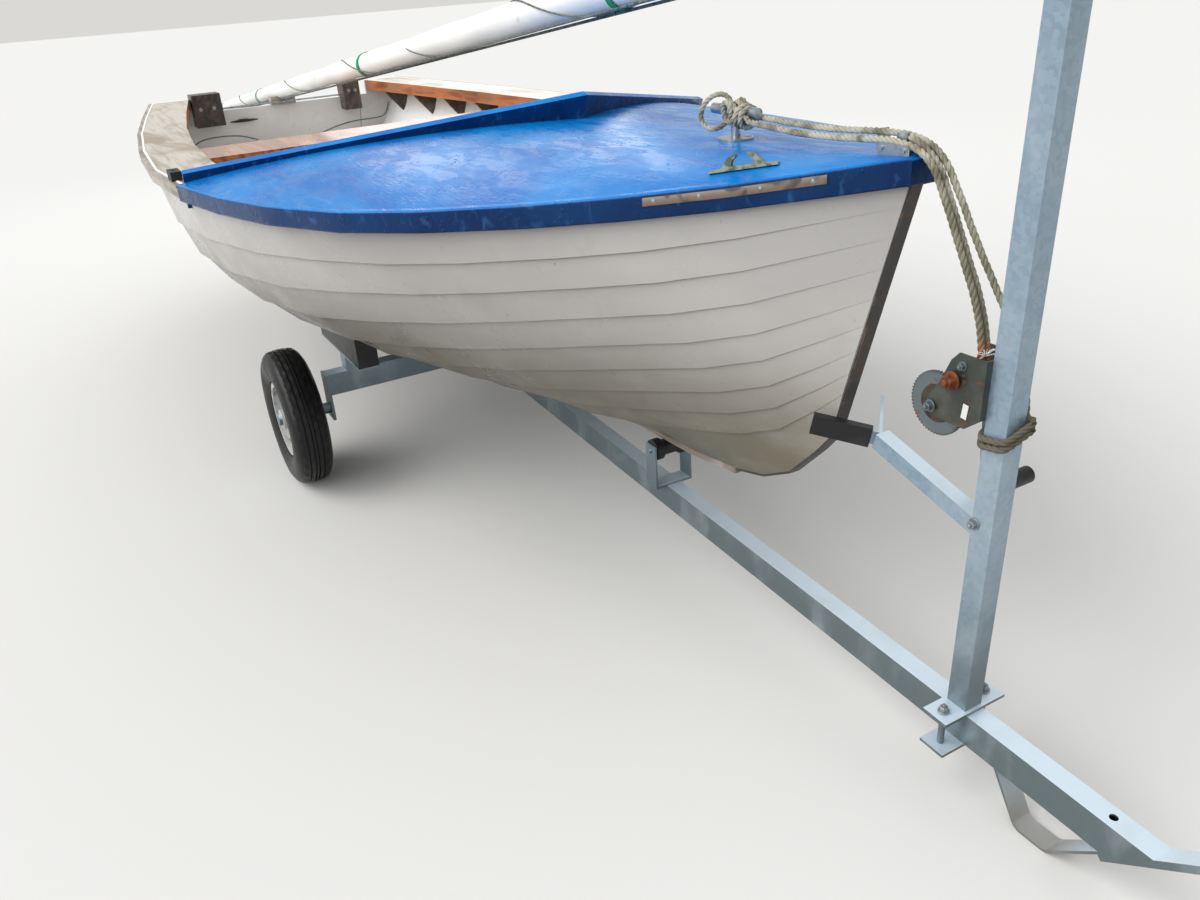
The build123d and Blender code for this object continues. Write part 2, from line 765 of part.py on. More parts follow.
# Post and what stands on it
def post_x(z):
    return (z - drawbar_z_at_post) * post_lean


def post_outline(inset, low_z, high_z):
    half = post_size / 2 - inset
    return [(post_x(low_z) - half, low_z), (post_x(low_z) + half, low_z), (post_x(high_z) + half, high_z),
            (post_x(high_z) - half, high_z)]


plate_length, plate_width, plate_thickness = foot_plate
foot_points = [(-plate_length / 2, drawbar_top(-plate_length / 2)),
    (plate_length / 2, drawbar_top(plate_length / 2))]
foot_top = side_plate(foot_points + list(reversed(offset_line(foot_points, plate_thickness))),
    plate_width / 2)
under_points = [(x, z - drawbar_height) for x, z in foot_points]
foot_under = side_plate(under_points + list(reversed(offset_line(under_points, -plate_thickness))),
    plate_width / 2)
post_foot = foot_top + foot_under
for side in (1, -1):
    bolt = rod((0, side * foot_bolt_y, drawbar_z_at_post - drawbar_height - plate_thickness - 10),
               (0, side * foot_bolt_y, drawbar_z_at_post + plate_thickness + 10), foot_bolt_radius)
    post_foot = post_foot + bolt
keep("post_foot", post_foot)
post_low_z = drawbar_z_at_post - 10
post_filled = side_plate(post_outline(0, post_low_z, post_top_z), post_size / 2)
post = post_filled - side_plate(post_outline(post_wall, post_low_z - 10, post_top_z + 10),
    post_size / 2 - post_wall)
post = post - foot_top - drawbar_filled
keep("mast_post", post)

crutch_x = post_x(post_top_z)
crutch = box_between((crutch_x - crutch_length / 2, -crutch_width / 2, post_top_z),
                     (crutch_x + crutch_length / 2, crutch_width / 2, mast_z(crutch_x) + crutch_cap))
trough = box_between((crutch_x - crutch_length, -mast_radius, mast_z(crutch_x)),
                     (crutch_x + crutch_length, mast_radius, mast_z(crutch_x) + 200))
crutch = crutch - mast_rod - trough
keep("mast_crutch", crutch)

# Bow stop: arm on the post with a V of two flat legs, one in a rubber sleeve
arm_start_x = post_x(arm_post_z) - post_size / 2
arm_line = [(arm_start_x + 20, arm_post_z - 20 * arm_rise),
    (arm_end_x, arm_post_z - arm_rise * (arm_end_x - arm_start_x))]


def arm_slab(inset, past):
    start = (arm_line[0][0] + past, arm_line[0][1] - past * arm_rise)
    finish = (arm_line[1][0] - past, arm_line[1][1] + past * arm_rise)
    half = arm_size / 2 - inset
    line = [start, finish]
    return side_plate(offset_line(line, half) + list(reversed(offset_line(line, -half))), half)


snubber_arm = arm_slab(0, 0) - arm_slab(arm_wall, 30) - post_filled
keep("snubber_arm", snubber_arm)
arm_tip = Vector(arm_line[1][0], 0, arm_line[1][1])
leg_along = Vector(-1, 1, arm_rise).normalized()
leg_across = Vector(1, 1, 0).normalized()
leg_up = leg_along.cross(leg_across).normalized()
if leg_up.Z < 0:
    leg_up = leg_up * -1


def leg_box(start, length, thickness, width):
    """Flat leg of the V on the port side, from a start distance along it."""
    corner = arm_tip + leg_along * start - leg_across * (thickness / 2) - leg_up * (width / 2)
    points = [corner, corner + leg_along * length, corner + leg_along * length + leg_up * width,
        corner + leg_up * width]
    return plate([tuple(p) for p in points], tuple(leg_across * thickness))


leg_port = leg_box(-arm_size * 0.4, chock_leg_length, chock_leg_thickness, chock_leg_width)
v_chock = (leg_port + mirror_y(leg_port)) - arm_slab(0, 0)
keep("v_chock", v_chock)
sleeve = leg_box(chock_leg_length - arm_size * 0.4 - sleeve_length + 6, sleeve_length, sleeve_outer[1],
    sleeve_outer[0])
sleeve = mirror_y(sleeve - leg_port - arm_slab(0, 0))
keep("chock_sleeve", sleeve)

# Hand winch on the after face of the post


def post_face_x(z):
    return post_x(z) - post_size / 2


winch_half = winch_inside_half + winch_plate_thickness
cheek_outline = [(post_face_x(winch_base_z), winch_base_z), (post_face_x(winch_high_z), winch_high_z),
                 (-58, winch_high_z), (-72, 793), (-93, 747), (-112, 722), (-116, 700), (-100, winch_low_z),
                 (-36, winch_low_z)]
cheeks = side_plate(cheek_outline, winch_half) - side_plate(cheek_outline, winch_inside_half)
winch_base = side_plate([(post_face_x(winch_base_z), winch_base_z), (post_face_x(winch_high_z), winch_high_z),
                         (post_face_x(winch_high_z) - winch_base_thickness, winch_high_z),
                         (post_face_x(winch_base_z) - winch_base_thickness, winch_base_z)], winch_half)
drum_pin = rod((drum_x, -winch_half - 8, drum_z), (drum_x, winch_half + 4, drum_z), drum_shaft_radius)
crank_hole = rod((pinion_x, -winch_half - 10, pinion_z), (pinion_x, winch_half + 10, pinion_z),
                 crank_shaft_radius + running_fit)
winch_frame = cheeks + winch_base - crank_hole + drum_pin
keep("winch_frame", winch_frame)

drum = rod((drum_x, gear_y + gear_thickness, drum_z), (drum_x, flange_y, drum_z), drum_rope_radius)
drum = drum + rod((drum_x, flange_y, drum_z), (drum_x, flange_y + flange_thickness, drum_z), flange_radius)
drum = drum + rod((drum_x, gear_y, drum_z), (drum_x, gear_y + gear_thickness, drum_z), gear_radius)
drum = drum - rod((drum_x, -40, drum_z), (drum_x, 40, drum_z), drum_shaft_radius + running_fit)
keep("winch_drum", drum)

arm_angle = radians(crank_lean)
crank_end = (pinion_x + crank_length * sin(arm_angle), pinion_z - crank_length * cos(arm_angle))
crank = rod((pinion_x, -winch_half - 7, pinion_z), (pinion_x, crank_arm_y + crank_arm_thickness, pinion_z),
            crank_shaft_radius)
crank = crank + rod((pinion_x, gear_y, pinion_z), (pinion_x, gear_y + gear_thickness, pinion_z),
    pinion_radius)
arm_half = crank_arm_width / 2
crank_line = [(pinion_x, pinion_z + 10), (crank_end[0], crank_end[1] - 10)]
arm_points = offset_line(crank_line, arm_half) + list(reversed(offset_line(crank_line, -arm_half)))
crank = crank + plate([(x, crank_arm_y, z) for x, z in arm_points], (0, crank_arm_thickness, 0))
keep("winch_crank", crank)
grip_start = crank_arm_y + crank_arm_thickness
keep("crank_grip", rod((crank_end[0], grip_start, crank_end[1]),
    (crank_end[0], grip_start + grip_length, crank_end[1]), grip_radius))

# Axle beam with drop plates and stub axles
beam_low_z = drawbar_top(axle_x - axle_beam_width / 2)
beam_high_z = beam_low_z + axle_beam_height
axle = box_between((axle_x - axle_beam_width / 2, -axle_beam_half, beam_low_z),
                   (axle_x + axle_beam_width / 2, axle_beam_half, beam_high_z))
axle = axle - box_between((axle_x - axle_beam_width / 2 + 3, -axle_beam_half + 3, beam_low_z + 3),
                          (axle_x + axle_beam_width / 2 - 3, axle_beam_half - 3, beam_high_z - 3))
for side in (1, -1):
    inner_y, outer_y = axle_beam_half, axle_beam_half + drop_plate_thickness
    drop = box_between((axle_x - drop_plate_width / 2, min(side * inner_y, side * outer_y),
        wheel_radius - 34), (axle_x + drop_plate_width / 2, max(side * inner_y, side * outer_y), beam_high_z))
    axle = axle + drop
    axle = axle + rod((axle_x, side * inner_y, wheel_radius), (axle_x, side * stub_end_y, wheel_radius),
        stub_radius)
    hub_inner, hub_outer = wheel_centre_y - hub_half - 0.5, wheel_centre_y + hub_half + 0.5
    axle = axle + rod((axle_x, side * outer_y, wheel_radius), (axle_x, side * hub_inner, wheel_radius),
        stub_nut_radius)
    nut_outer = hub_outer + stub_nut_length
    axle = axle + rod((axle_x, side * hub_outer, wheel_radius), (axle_x, side * nut_outer, wheel_radius),
        stub_nut_radius)
keep("axle_beam", axle)

# Bilge supports: uprights on the beam with rubber pads cut to the hull
support_low = beam_high_z


def hull_underside(x, y):
    """Height of the moulding's outside at a place."""
    points = lapped_points(row_at(x), land_at(x))
    for below, above in zip(points, points[1:]):
        if below.Y <= y <= above.Y:
            return below.Z + (above.Z - below.Z) * (y - below.Y) / (above.Y - below.Y)
    return points[-1].Z


pad_low_z = hull_underside(axle_x - pad_length / 2, pad_y - pad_width / 2) - pad_thickness
pad = box_between((axle_x - pad_length / 2, pad_y - pad_width / 2, pad_low_z),
                  (axle_x + pad_length / 2, pad_y + pad_width / 2, pad_low_z + 200)) - hull_body
pad = min(pad.solids(), key=lambda solid: solid.center().Z)
upright = box_between((axle_x - upright_size / 2, pad_y - upright_size / 2, beam_high_z),
                      (axle_x + upright_size / 2, pad_y + upright_size / 2, pad_low_z - bracket_thickness))
shoe = box_between((axle_x - pad_length / 2, pad_y - pad_width / 2, pad_low_z - bracket_thickness),
                   (axle_x + pad_length / 2, pad_y + pad_width / 2, pad_low_z))
keep("bunk_pads", Compound([pad, mirror_y(pad)]))
keep("hull_supports", Compound([upright + shoe, mirror_y(upright + shoe)]))

# Keel rollers between side plates on the drawbar
rollers = []
brackets = []
for place in keel_roller_x:
    axis_z = keel_z(place) - keel_bar_depth - keel_roller_waist - clearance
    half, waist, radius = keel_roller_half, keel_roller_waist, keel_roller_radius
    profile = Wire.make_polygon([Vector(keel_roller_pin, -half, 0), Vector(radius, -half, 0),
        Vector(radius, -stem_half_width - 14, 0), Vector(waist, -stem_half_width - 4, 0),
        Vector(waist, stem_half_width + 4, 0), Vector(radius, stem_half_width + 14, 0),
        Vector(radius, half, 0), Vector(keel_roller_pin, half, 0)], close=True)
    roller = revolve(Face(profile), Axis.Y)
    rollers.append(Pos(place, 0, axis_z) * roller)
    side_y = half + 2
    bracket = rod((place, -side_y - bracket_thickness - 5, axis_z),
        (place, side_y + bracket_thickness + 5, axis_z), keel_roller_pin)
    for low_y in (-side_y - bracket_thickness, side_y):
        bracket = bracket + box_between((place - 22, low_y, drawbar_top(place) - 2),
                                        (place + 22, low_y + bracket_thickness, axis_z + 14))
    bracket = bracket + box_between((place - 22, -side_y - bracket_thickness, drawbar_top(place) - 3),
                                    (place + 22, side_y + bracket_thickness, drawbar_top(place) + 3))
    brackets.append(bracket - drawbar_filled)
keep("keel_rollers", Compound(rollers))
keep("roller_brackets", Compound(brackets))


# Wheels
def ring_face(points):
    return Face(Wire.make_polygon([Vector(r, y, 0) for r, y in points], close=True))


def tyre_outline(inset):
    """Half-round tyre section: crowned tread, rounded shoulders and flat beads."""
    crown, half = wheel_radius - inset, tyre_width / 2 - inset
    shoulder = (wheel_radius - 11 - inset, 37)
    bulge = ((crown + rim_flange_radius) / 2, half)
    heel = (rim_flange_radius + 3, bead_half - inset)
    tread = ThreePointArc((shoulder[0], -shoulder[1], 0), (crown, 0, 0), (shoulder[0], shoulder[1], 0))
    port = ThreePointArc((shoulder[0], shoulder[1], 0), (bulge[0], bulge[1], 0), (heel[0], heel[1], 0))
    starboard = ThreePointArc((heel[0], -heel[1], 0), (bulge[0], -bulge[1], 0),
        (shoulder[0], -shoulder[1], 0))
    toes = Polyline(port @ 1, (bead_radius, heel[1], 0), (bead_radius, -heel[1], 0), starboard @ 0)
    return Face(Wire([tread, port] + toes.edges() + [starboard]))


tyre_solid = revolve(tyre_outline(0), Axis.Y)
tyre_cavity = revolve(tyre_outline(tyre_wall), Axis.Y)
tyre_bore = rod((0, -200, 0), (0, 200, 0), bead_radius)
tyre = tyre_solid - tyre_cavity - tyre_bore
barrel_in = bead_radius - clearance - rim_thickness
flange_in = bead_half + clearance
flange_out = flange_in + rim_thickness
barrel_out = bead_radius - clearance
barrel = [(barrel_out, -flange_in), (rim_flange_radius, -flange_in), (rim_flange_radius, -flange_out),
          (barrel_in, -flange_out), (barrel_in, flange_out), (rim_flange_radius, flange_out),
          (rim_flange_radius, flange_in), (barrel_out, flange_in)]
hub_bore = stub_radius + running_fit
disc = [(hub_bore, disc_y), (barrel_in + 1, disc_y), (barrel_in + 1, disc_y + disc_thickness),
        (hub_bore, disc_y + disc_thickness)]
hub = [(hub_bore, -hub_half), (hub_radius, -hub_half), (hub_radius, hub_half), (hub_bore, hub_half)]
rim = revolve(ring_face(barrel), Axis.Y) + revolve(ring_face(disc), Axis.Y) + revolve(ring_face(hub), Axis.Y)
wheel_place = Pos(axle_x, wheel_centre_y, wheel_radius)
for side, turn in (("port", lambda s: s), ("starboard", mirror_y)):
    keep("tyre_" + side, turn(wheel_place * tyre))
    keep("wheel_rim_" + side, turn(wheel_place * rim))


# Painter: two parts from the cleat over the stem, down to the post and to the winch
def rope(points):
    """Round rope through straight runs joined by tangent arcs."""
    bends = []
    for before, point, after in zip(points, points[1:], points[2:]):
        first, second = Vector(*point) - Vector(*before), Vector(*after) - Vector(*point)
        turn = radians(first.get_angle(second))
        bends.append(0.45 * min(first.length, second.length) / tan(turn / 2))
    route = FilletPolyline(*points, radius=bends)
    section = Plane(origin=route @ 0, z_dir=route % 0) * Circle(rope_radius)
    return sweep(section, path=route)


strand_to_post = [(-606, 15, 1098), (-500, 15, 1094), (-405, 13, 1095), (-310, 17, 1101), (-222, 18, 1103),
    (-163, 12, 1082), (-128, 13, 1030), (-90, 18, 960), (-46, 25, 888), (5, 26, 818), (22, 26, 765),
    (28, 26, 702)]
strand_to_winch = [(-606, -12, 1093), (-500, -14, 1087), (-405, -12, 1086), (-310, -17, 1093),
    (-222, -18, 1099), (-166, -12, 1081), (-130, -11, 1020), (-92, -9, 945), (-56, -7, 875), (-37, -6, 800),
    (-44, -6, 752), (-66.5, -6, 712)]
second_to_winch = [(-219, 0, 1103), (-166, 0, 1083), (-132, 1, 1022), (-95, 3, 948), (-58, 5, 877),
    (-37, 6, 800), (-44, 6, 752), (-66.5, 6, 712)]
keep("painter_to_post", rope(strand_to_post))
keep("painter_to_winch", rope(strand_to_winch))
keep("painter_second_part", rope(second_to_winch))
lashing_z = 693
lashing_half = post_size / 2 + rope_radius + clearance


def lashing_turn(z):
    """One turn of rope round the post."""
    centre = post_x(z)
    corner = rope_radius + 0.5
    outline = Pos(centre, 0, z) * RectangleRounded(2 * lashing_half, 2 * lashing_half, corner)
    route = outline.wires()[0]
    start = Plane(origin=route @ 0, z_dir=route % 0)
    return sweep(start * Circle(rope_radius), path=route)


keep("post_lashing", Compound([lashing_turn(lashing_z),
    lashing_turn(lashing_z - 2 * rope_radius - clearance)]))
knot_x = cleat_x + 4
knot = rod((knot_x - 22, 0, cleat_bar_z - 14), (knot_x + 50, 0, cleat_bar_z - 14), 20)
keep("painter_knot", knot - cleat)
loop = Pos(cleat_x - 34, -20, cleat_bar_z - 2) * Rot(70, 0, 26) * Torus(32, rope_radius)
keep("painter_loop", loop - cleat - knot)

for name, shape in parts.items():
    export_step(shape, "parts/" + name + ".step")
    print(name, round(shape.volume), shape.is_valid)
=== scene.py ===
import json
import math
import random

import bmesh
import bpy
import numpy as np
from mathutils import Matrix, Vector
from mathutils.bvhtree import BVHTree


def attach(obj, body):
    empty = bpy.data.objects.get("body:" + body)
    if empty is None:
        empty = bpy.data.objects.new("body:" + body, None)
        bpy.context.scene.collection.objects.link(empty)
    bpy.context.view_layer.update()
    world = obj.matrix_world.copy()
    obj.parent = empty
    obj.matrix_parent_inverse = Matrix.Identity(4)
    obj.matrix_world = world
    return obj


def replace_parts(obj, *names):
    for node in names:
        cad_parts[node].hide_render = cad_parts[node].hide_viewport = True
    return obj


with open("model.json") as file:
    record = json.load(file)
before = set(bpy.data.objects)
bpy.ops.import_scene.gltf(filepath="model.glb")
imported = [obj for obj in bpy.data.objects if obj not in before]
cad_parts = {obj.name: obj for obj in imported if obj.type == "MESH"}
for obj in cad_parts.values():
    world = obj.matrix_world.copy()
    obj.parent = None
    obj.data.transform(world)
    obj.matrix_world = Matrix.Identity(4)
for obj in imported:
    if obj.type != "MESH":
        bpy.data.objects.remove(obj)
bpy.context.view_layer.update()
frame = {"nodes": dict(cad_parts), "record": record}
nodes = frame["nodes"]
postX = 2.86173  # the winch post stands at this x of the frame, in metres
print("frame loaded")


# A place given in metres forward of the winch post, to port and above the ground
def at(x, y, z):
    return Vector((x + postX, y, z))


# Camera, solved from the photograph: focal length and width are in photo pixels, angles in degrees
eye = {
    "focal": 982.96, "width": 1200, "place": (0.904, -1.1627, 1.3622), "yaw": 27.779, "pitch": 26.041,
    "roll": -4.152, "sensor": 36, "farthest": 60,
}


def setCamera():
    yaw, pitch, roll = (math.radians(eye[name]) for name in ("yaw", "pitch", "roll"))
    level = Vector((-math.cos(yaw), math.sin(yaw), 0))
    side = Vector((math.sin(yaw), math.cos(yaw), 0))
    sky = Vector((0, 0, 1))
    ahead = level * math.cos(pitch) - sky * math.sin(pitch)
    over = sky * math.cos(pitch) + level * math.sin(pitch)
    right = side * math.cos(roll) + over * math.sin(roll)
    up = over * math.cos(roll) - side * math.sin(roll)
    lens = bpy.data.cameras.new("photoCamera")
    lens.sensor_width = eye["sensor"]
    lens.lens = eye["focal"] * lens.sensor_width / eye["width"]
    lens.clip_end = eye["farthest"]
    camera = bpy.data.objects.new("photoCamera", lens)
    turned = Matrix((right, up, -ahead)).transposed().to_4x4()
    camera.matrix_world = Matrix.Translation(at(*eye["place"])) @ turned
    bpy.context.scene.collection.objects.link(camera)
    bpy.context.scene.camera = camera


setCamera()
print("camera set")


# sRGB hex to the linear colour that a socket takes
def linear(code):
    parts = [int(code[i : i + 2], 16) / 255 for i in (1, 3, 5)]
    return tuple(p / 12.92 if p <= 0.04045 else ((p + 0.055) / 1.055) ** 2.4 for p in parts) + (1.0,)


# One node with its settings, and its inputs as values or as links from other sockets
def addNode(tree, kind, settings=None, inputs=None):
    node = tree.nodes.new(kind)
    for name, value in (settings or {}).items():
        setattr(node, name, value)
    for name, value in (inputs or {}).items():
        if isinstance(value, bpy.types.NodeSocket):
            tree.links.new(value, node.inputs[name])
        else:
            node.inputs[name].default_value = value
    return node


# Noise in object space, stretch divides its size along each axis
def noise(tree, scale, stretch=(1, 1, 1), detail=4.0, warp=0.0):
    place = addNode(tree, "ShaderNodeTexCoord").outputs["Object"]
    mapped = addNode(tree, "ShaderNodeMapping", None, {"Vector": place, "Scale": stretch}).outputs[0]
    values = {"Vector": mapped, "Scale": scale, "Detail": detail, "Distortion": warp}
    return addNode(tree, "ShaderNodeTexNoise", None, values).outputs["Fac"]


# Distance to the nearest cell centre or the cell's colour, for crystals, droplets and threads
def cells(tree, scale, output="Distance"):
    place = addNode(tree, "ShaderNodeTexCoord").outputs["Object"]
    return addNode(tree, "ShaderNodeTexVoronoi", None, {"Vector": place, "Scale": scale}).outputs[output]


def spread(tree, value, low, high, start=0.0, end=1.0):
    limits = {0: value, 1: low, 2: high, 3: start, 4: end}
    return addNode(tree, "ShaderNodeMapRange", {"interpolation_type": "SMOOTHSTEP"}, limits).outputs[0]


def maths(tree, operation, first, second=0.0):
    return addNode(tree, "ShaderNodeMath", {"operation": operation}, {0: first, 1: second}).outputs[0]


def blendColours(tree, share, first, second):
    first = linear(first) if isinstance(first, str) else first
    second = linear(second) if isinstance(second, str) else second
    return addNode(tree, "ShaderNodeMix", {"data_type": "RGBA"}, {0: share, 6: first, 7: second}).outputs[2]


# Height added over what the shader's Normal already has
def addBump(tree, shader, height, distance, strength):
    values = {"Height": height, "Distance": distance, "Strength": strength}
    if shader.inputs["Normal"].links:
        values["Normal"] = shader.inputs["Normal"].links[0].from_socket
    bump = addNode(tree, "ShaderNodeBump", None, values)
    tree.links.new(bump.outputs[0], shader.inputs["Normal"])


def link(tree, source, shader, name):
    tree.links.new(source, shader.inputs[name])


def newFinish(name, colour, roughness, metallic=0.0):
    material = bpy.data.materials.new(name)
    material.use_nodes = True
    tree = material.node_tree
    shader = tree.nodes["Principled BSDF"]
    shader.inputs["Base Color"].default_value = linear(colour)
    shader.inputs["Roughness"].default_value = roughness
    shader.inputs["Metallic"].default_value = metallic
    return material, tree, shader


def position(tree, axis):
    place = addNode(tree, "ShaderNodeTexCoord").outputs["Object"]
    return addNode(tree, "ShaderNodeSeparateXYZ", None, {0: place}).outputs[axis]


# A share that changes between two heights above the ground
def byHeight(tree, low, high, start, end):
    return spread(tree, position(tree, "Z"), low, high, start, end)


# Upward share of a surface: 1 where it faces the sky, 0 where it is upright or faces down
def facingUp(tree):
    facing = addNode(tree, "ShaderNodeNewGeometry").outputs["Normal"]
    rise = addNode(tree, "ShaderNodeSeparateXYZ", None, {0: facing}).outputs["Z"]
    return spread(tree, rise, 0.25, 0.75)


# Brushed gloss enamel under a film of rain: azure on top, deeper on upright faces as painted shade, with
# beads and pale streaks of painted sheen
def wetBluePaint():
    material, tree, shader = newFinish("wetBluePaint", "#1467c4", 0.3)
    faded = spread(tree, noise(tree, 3.2, (1, 2.2, 1), 5, 0.6), 0.34, 0.68)
    # Azure on the tops, deeper on upright faces: painted shade.
    top = blendColours(tree, faded, "#0066b6", "#0a7fca")
    side = blendColours(tree, faded, "#0a2c5a", "#0d3869")
    tone = blendColours(tree, facingUp(tree), side, top)
    # Pale blue streaks along the deck: painted sheen.
    sheenStreaks = spread(tree, noise(tree, 30, (0.35, 2.6, 1), 6, 0.5), 0.56, 0.78, 0, 0.22)
    link(tree, blendColours(tree, sheenStreaks, tone, "#5ba2e4"), shader, "Base Color")
    film = spread(tree, noise(tree, 16, (0.6, 1.6, 1), 7, 0.8), 0.35, 0.65)
    link(tree, spread(tree, film, 0, 1, 0.34, 0.2), shader, "Roughness")
    shader.inputs["Specular IOR Level"].default_value = 0.14
    beads = spread(tree, cells(tree, 95), 0.1, 0.42, 1, 0)
    wet = maths(tree, "MULTIPLY", beads, spread(tree, noise(tree, 14), 0.48, 0.6))
    addBump(tree, shader, wet, 0.0012, 0.6)
    addBump(tree, shader, noise(tree, 60, (0.5, 2.6, 1), 5), 0.0014, 0.55)
    return material


# Moulded hull: warm grey-white outside, darkened towards the keel by painted shade, dirty low down, with
# painted shadow under the laps, bright white inside
def gelcoatTopsides():
    material, tree, shader = newFinish("gelcoatTopsides", "#c9c6be", 0.32)
    facing = addNode(tree, "ShaderNodeNewGeometry").outputs["Normal"]
    parts = addNode(tree, "ShaderNodeSeparateXYZ", None, {0: facing})
    side = maths(tree, "SIGN", position(tree, "Y"))
    outward = maths(tree, "MULTIPLY", parts.outputs["Y"], side)
    inward = maths(tree, "SUBTRACT", parts.outputs["Z"], outward)
    inside = spread(tree, inward, 0.05, 0.25)
    mottle = spread(tree, noise(tree, 2.4, (1, 1, 2), 6, 0.4), 0.35, 0.7)
    skin = blendColours(tree, mottle, "#d3d0cc", "#dedbd6")
    runs = spread(tree, noise(tree, 5, (2.2, 2.2, 0.4), 6), 0.55, 0.78, 0, 0.22)
    skin = blendColours(tree, runs, skin, "#b3aea3")
    # Darker towards the keel: painted shade.
    skin = blendColours(tree, byHeight(tree, 0.38, 0.86, 0.9, 0), skin, "#8c8676")
    low = byHeight(tree, 0.36, 0.76, 0.9, 0)
    dirt = maths(tree, "MULTIPLY", low, spread(tree, noise(tree, 4, (1, 1, 3), 7, 1.0), 0.25, 0.65, 0.4, 1))
    skin = blendColours(tree, dirt, skin, "#6f6953")
    # Painted shadow: the skin darkens where ambient occlusion finds it shut in, under each lap and in other
    # crevices.
    lapShadowSampling = {"samples": 8, "only_local": True}
    lapShadow = addNode(tree, "ShaderNodeAmbientOcclusion", lapShadowSampling, {"Distance": 0.032}).outputs["AO"]
    skin = blendColours(tree, spread(tree, lapShadow, 0.5, 0.9, 0.95, 0), skin, "#38342d")
    specks = spread(tree, noise(tree, 60, detail=3), 0.72, 0.79, 0, 0.6)
    skin = blendColours(tree, specks, skin, "#7c7462")
    clean = blendColours(tree, spread(tree, noise(tree, 6), 0.5, 0.8, 0, 0.3), "#f4f5f3", "#dcd9cf")
    link(tree, blendColours(tree, inside, skin, clean), shader, "Base Color")
    link(tree, spread(tree, noise(tree, 9), 0.3, 0.7, 0.24, 0.48), shader, "Roughness")
    addBump(tree, shader, noise(tree, 120, detail=2), 0.0004, 0.3)
    return material


# Timber: the grain runs along x, with its own colours, gloss and wear
# and, where bleached is given, a top that has lost its varnish
def timber(name, light, dark, worn, roughness, coat, grain=26.0, bleached=None):
    material, tree, shader = newFinish(name, light, roughness)
    fibres = noise(tree, grain, (0.16, 2.2, 2.2), 7, 0.5)
    rings = noise(tree, 5, (0.25, 3, 3), 3, 1.6)
    tone = blendColours(tree, spread(tree, rings, 0.35, 0.65), light, dark)
    tone = blendColours(tree, spread(tree, fibres, 0.5, 0.72, 0, 0.7), tone, dark)
    patch = spread(tree, noise(tree, 7, (0.6, 1, 1), 5, 0.6), 0.52, 0.7, 0, 0.8)
    tone = blendColours(tree, patch, tone, worn)
    if bleached:
        pale = blendColours(tree, spread(tree, fibres, 0.45, 0.7, 0, 0.8), bleached[0], bleached[1])
        grimy = spread(tree, noise(tree, 4, (0.5, 1.4, 1), 5, 0.9), 0.5, 0.66)
        pale = blendColours(tree, grimy, pale, bleached[2])
        tone = blendColours(tree, facingUp(tree), tone, pale)
    link(tree, tone, shader, "Base Color")
    link(tree, spread(tree, patch, 0, 1, roughness, min(0.9, roughness + 0.25)), shader, "Roughness")
    shader.inputs["Coat Weight"].default_value = coat
    shader.inputs["Coat Roughness"].default_value = 0.12
    addBump(tree, shader, fibres, 0.0012, 0.5)
    return material


# New hot-dip zinc, wet: smooth pale blue-grey, crystals about 8 mm across that barely show, with a painted
# sky reflection making the tops near white and painted shade on the upright faces, darker still low down
def galvanisedSteel():
    material, tree, shader = newFinish("galvanisedSteel", "#aebfcb", 0.38, 0.5)
    crystals = spread(tree, cells(tree, 120, "Color"), 0.2, 0.8)
    # Upright faces darker than the tops: painted shade.
    upright = blendColours(tree, crystals, "#8ba0b0", "#97acbb")
    # Upright faces darker towards the ground: painted shade.
    lowShade = byHeight(tree, 0.1, 0.55, 0.85, 0)
    upright = blendColours(tree, lowShade, upright, "#5a6463")
    # Tops near white: painted reflection of the sky.
    tone = blendColours(tree, facingUp(tree), upright, "#dcecf8")
    tone = blendColours(tree, byHeight(tree, 0.01, 0.09, 0.8, 0), tone, "#8d857a")
    bloom = spread(tree, noise(tree, 9, (1, 1, 0.5), 6, 0.6), 0.45, 0.75, 0, 0.35)
    tone = blendColours(tree, bloom, tone, "#c3ced5")
    scuffs = spread(tree, noise(tree, 34, (1, 1, 0.5), 5), 0.66, 0.76, 0, 0.35)
    tone = blendColours(tree, scuffs, tone, "#7f8a8f")
    rust = spread(tree, noise(tree, 52, (1, 1, 0.5), 5), 0.75, 0.8, 0, 0.5)
    link(tree, blendColours(tree, rust, tone, "#775844"), shader, "Base Color")
    link(tree, spread(tree, crystals, 0, 1, 0.33, 0.42), shader, "Roughness")
    addBump(tree, shader, noise(tree, 45, detail=4), 0.0004, 0.3)
    return material


# Metals, cords and paints: one tone, stains of another and a fine grain
def metal(name, colour, stain, share, roughness, metallic, scale):
    material, tree, shader = newFinish(name, colour, roughness, metallic)
    patch = spread(tree, noise(tree, scale, detail=6, warp=0.7), 0.62 - share * 0.4, 0.78 - share * 0.3)
    link(tree, blendColours(tree, patch, colour, stain), shader, "Base Color")
    link(tree, spread(tree, patch, 0, 1, metallic, metallic * 0.25), shader, "Metallic")
    link(tree, spread(tree, patch, 0, 1, roughness, min(0.95, roughness + 0.35)), shader, "Roughness")
    addBump(tree, shader, noise(tree, scale * 5, detail=3), 0.0004, 0.4)
    return material


# Rubber: near black, greyed where it is worn or dusty
def rubber(name, colour, dusty, roughness, coat):
    material, tree, shader = newFinish(name, colour, roughness)
    dust = spread(tree, noise(tree, 12, detail=6, warp=0.5), 0.5, 0.75, 0, 0.7)
    link(tree, blendColours(tree, dust, colour, dusty), shader, "Base Color")
    link(tree, spread(tree, dust, 0, 1, roughness, 0.75), shader, "Roughness")
    shader.inputs["Coat Weight"].default_value = coat
    shader.inputs["Coat Roughness"].default_value = 0.1
    shader.inputs["Specular IOR Level"].default_value = 0.3
    addBump(tree, shader, noise(tree, 240, detail=3), 0.0003, 0.5)
    return material


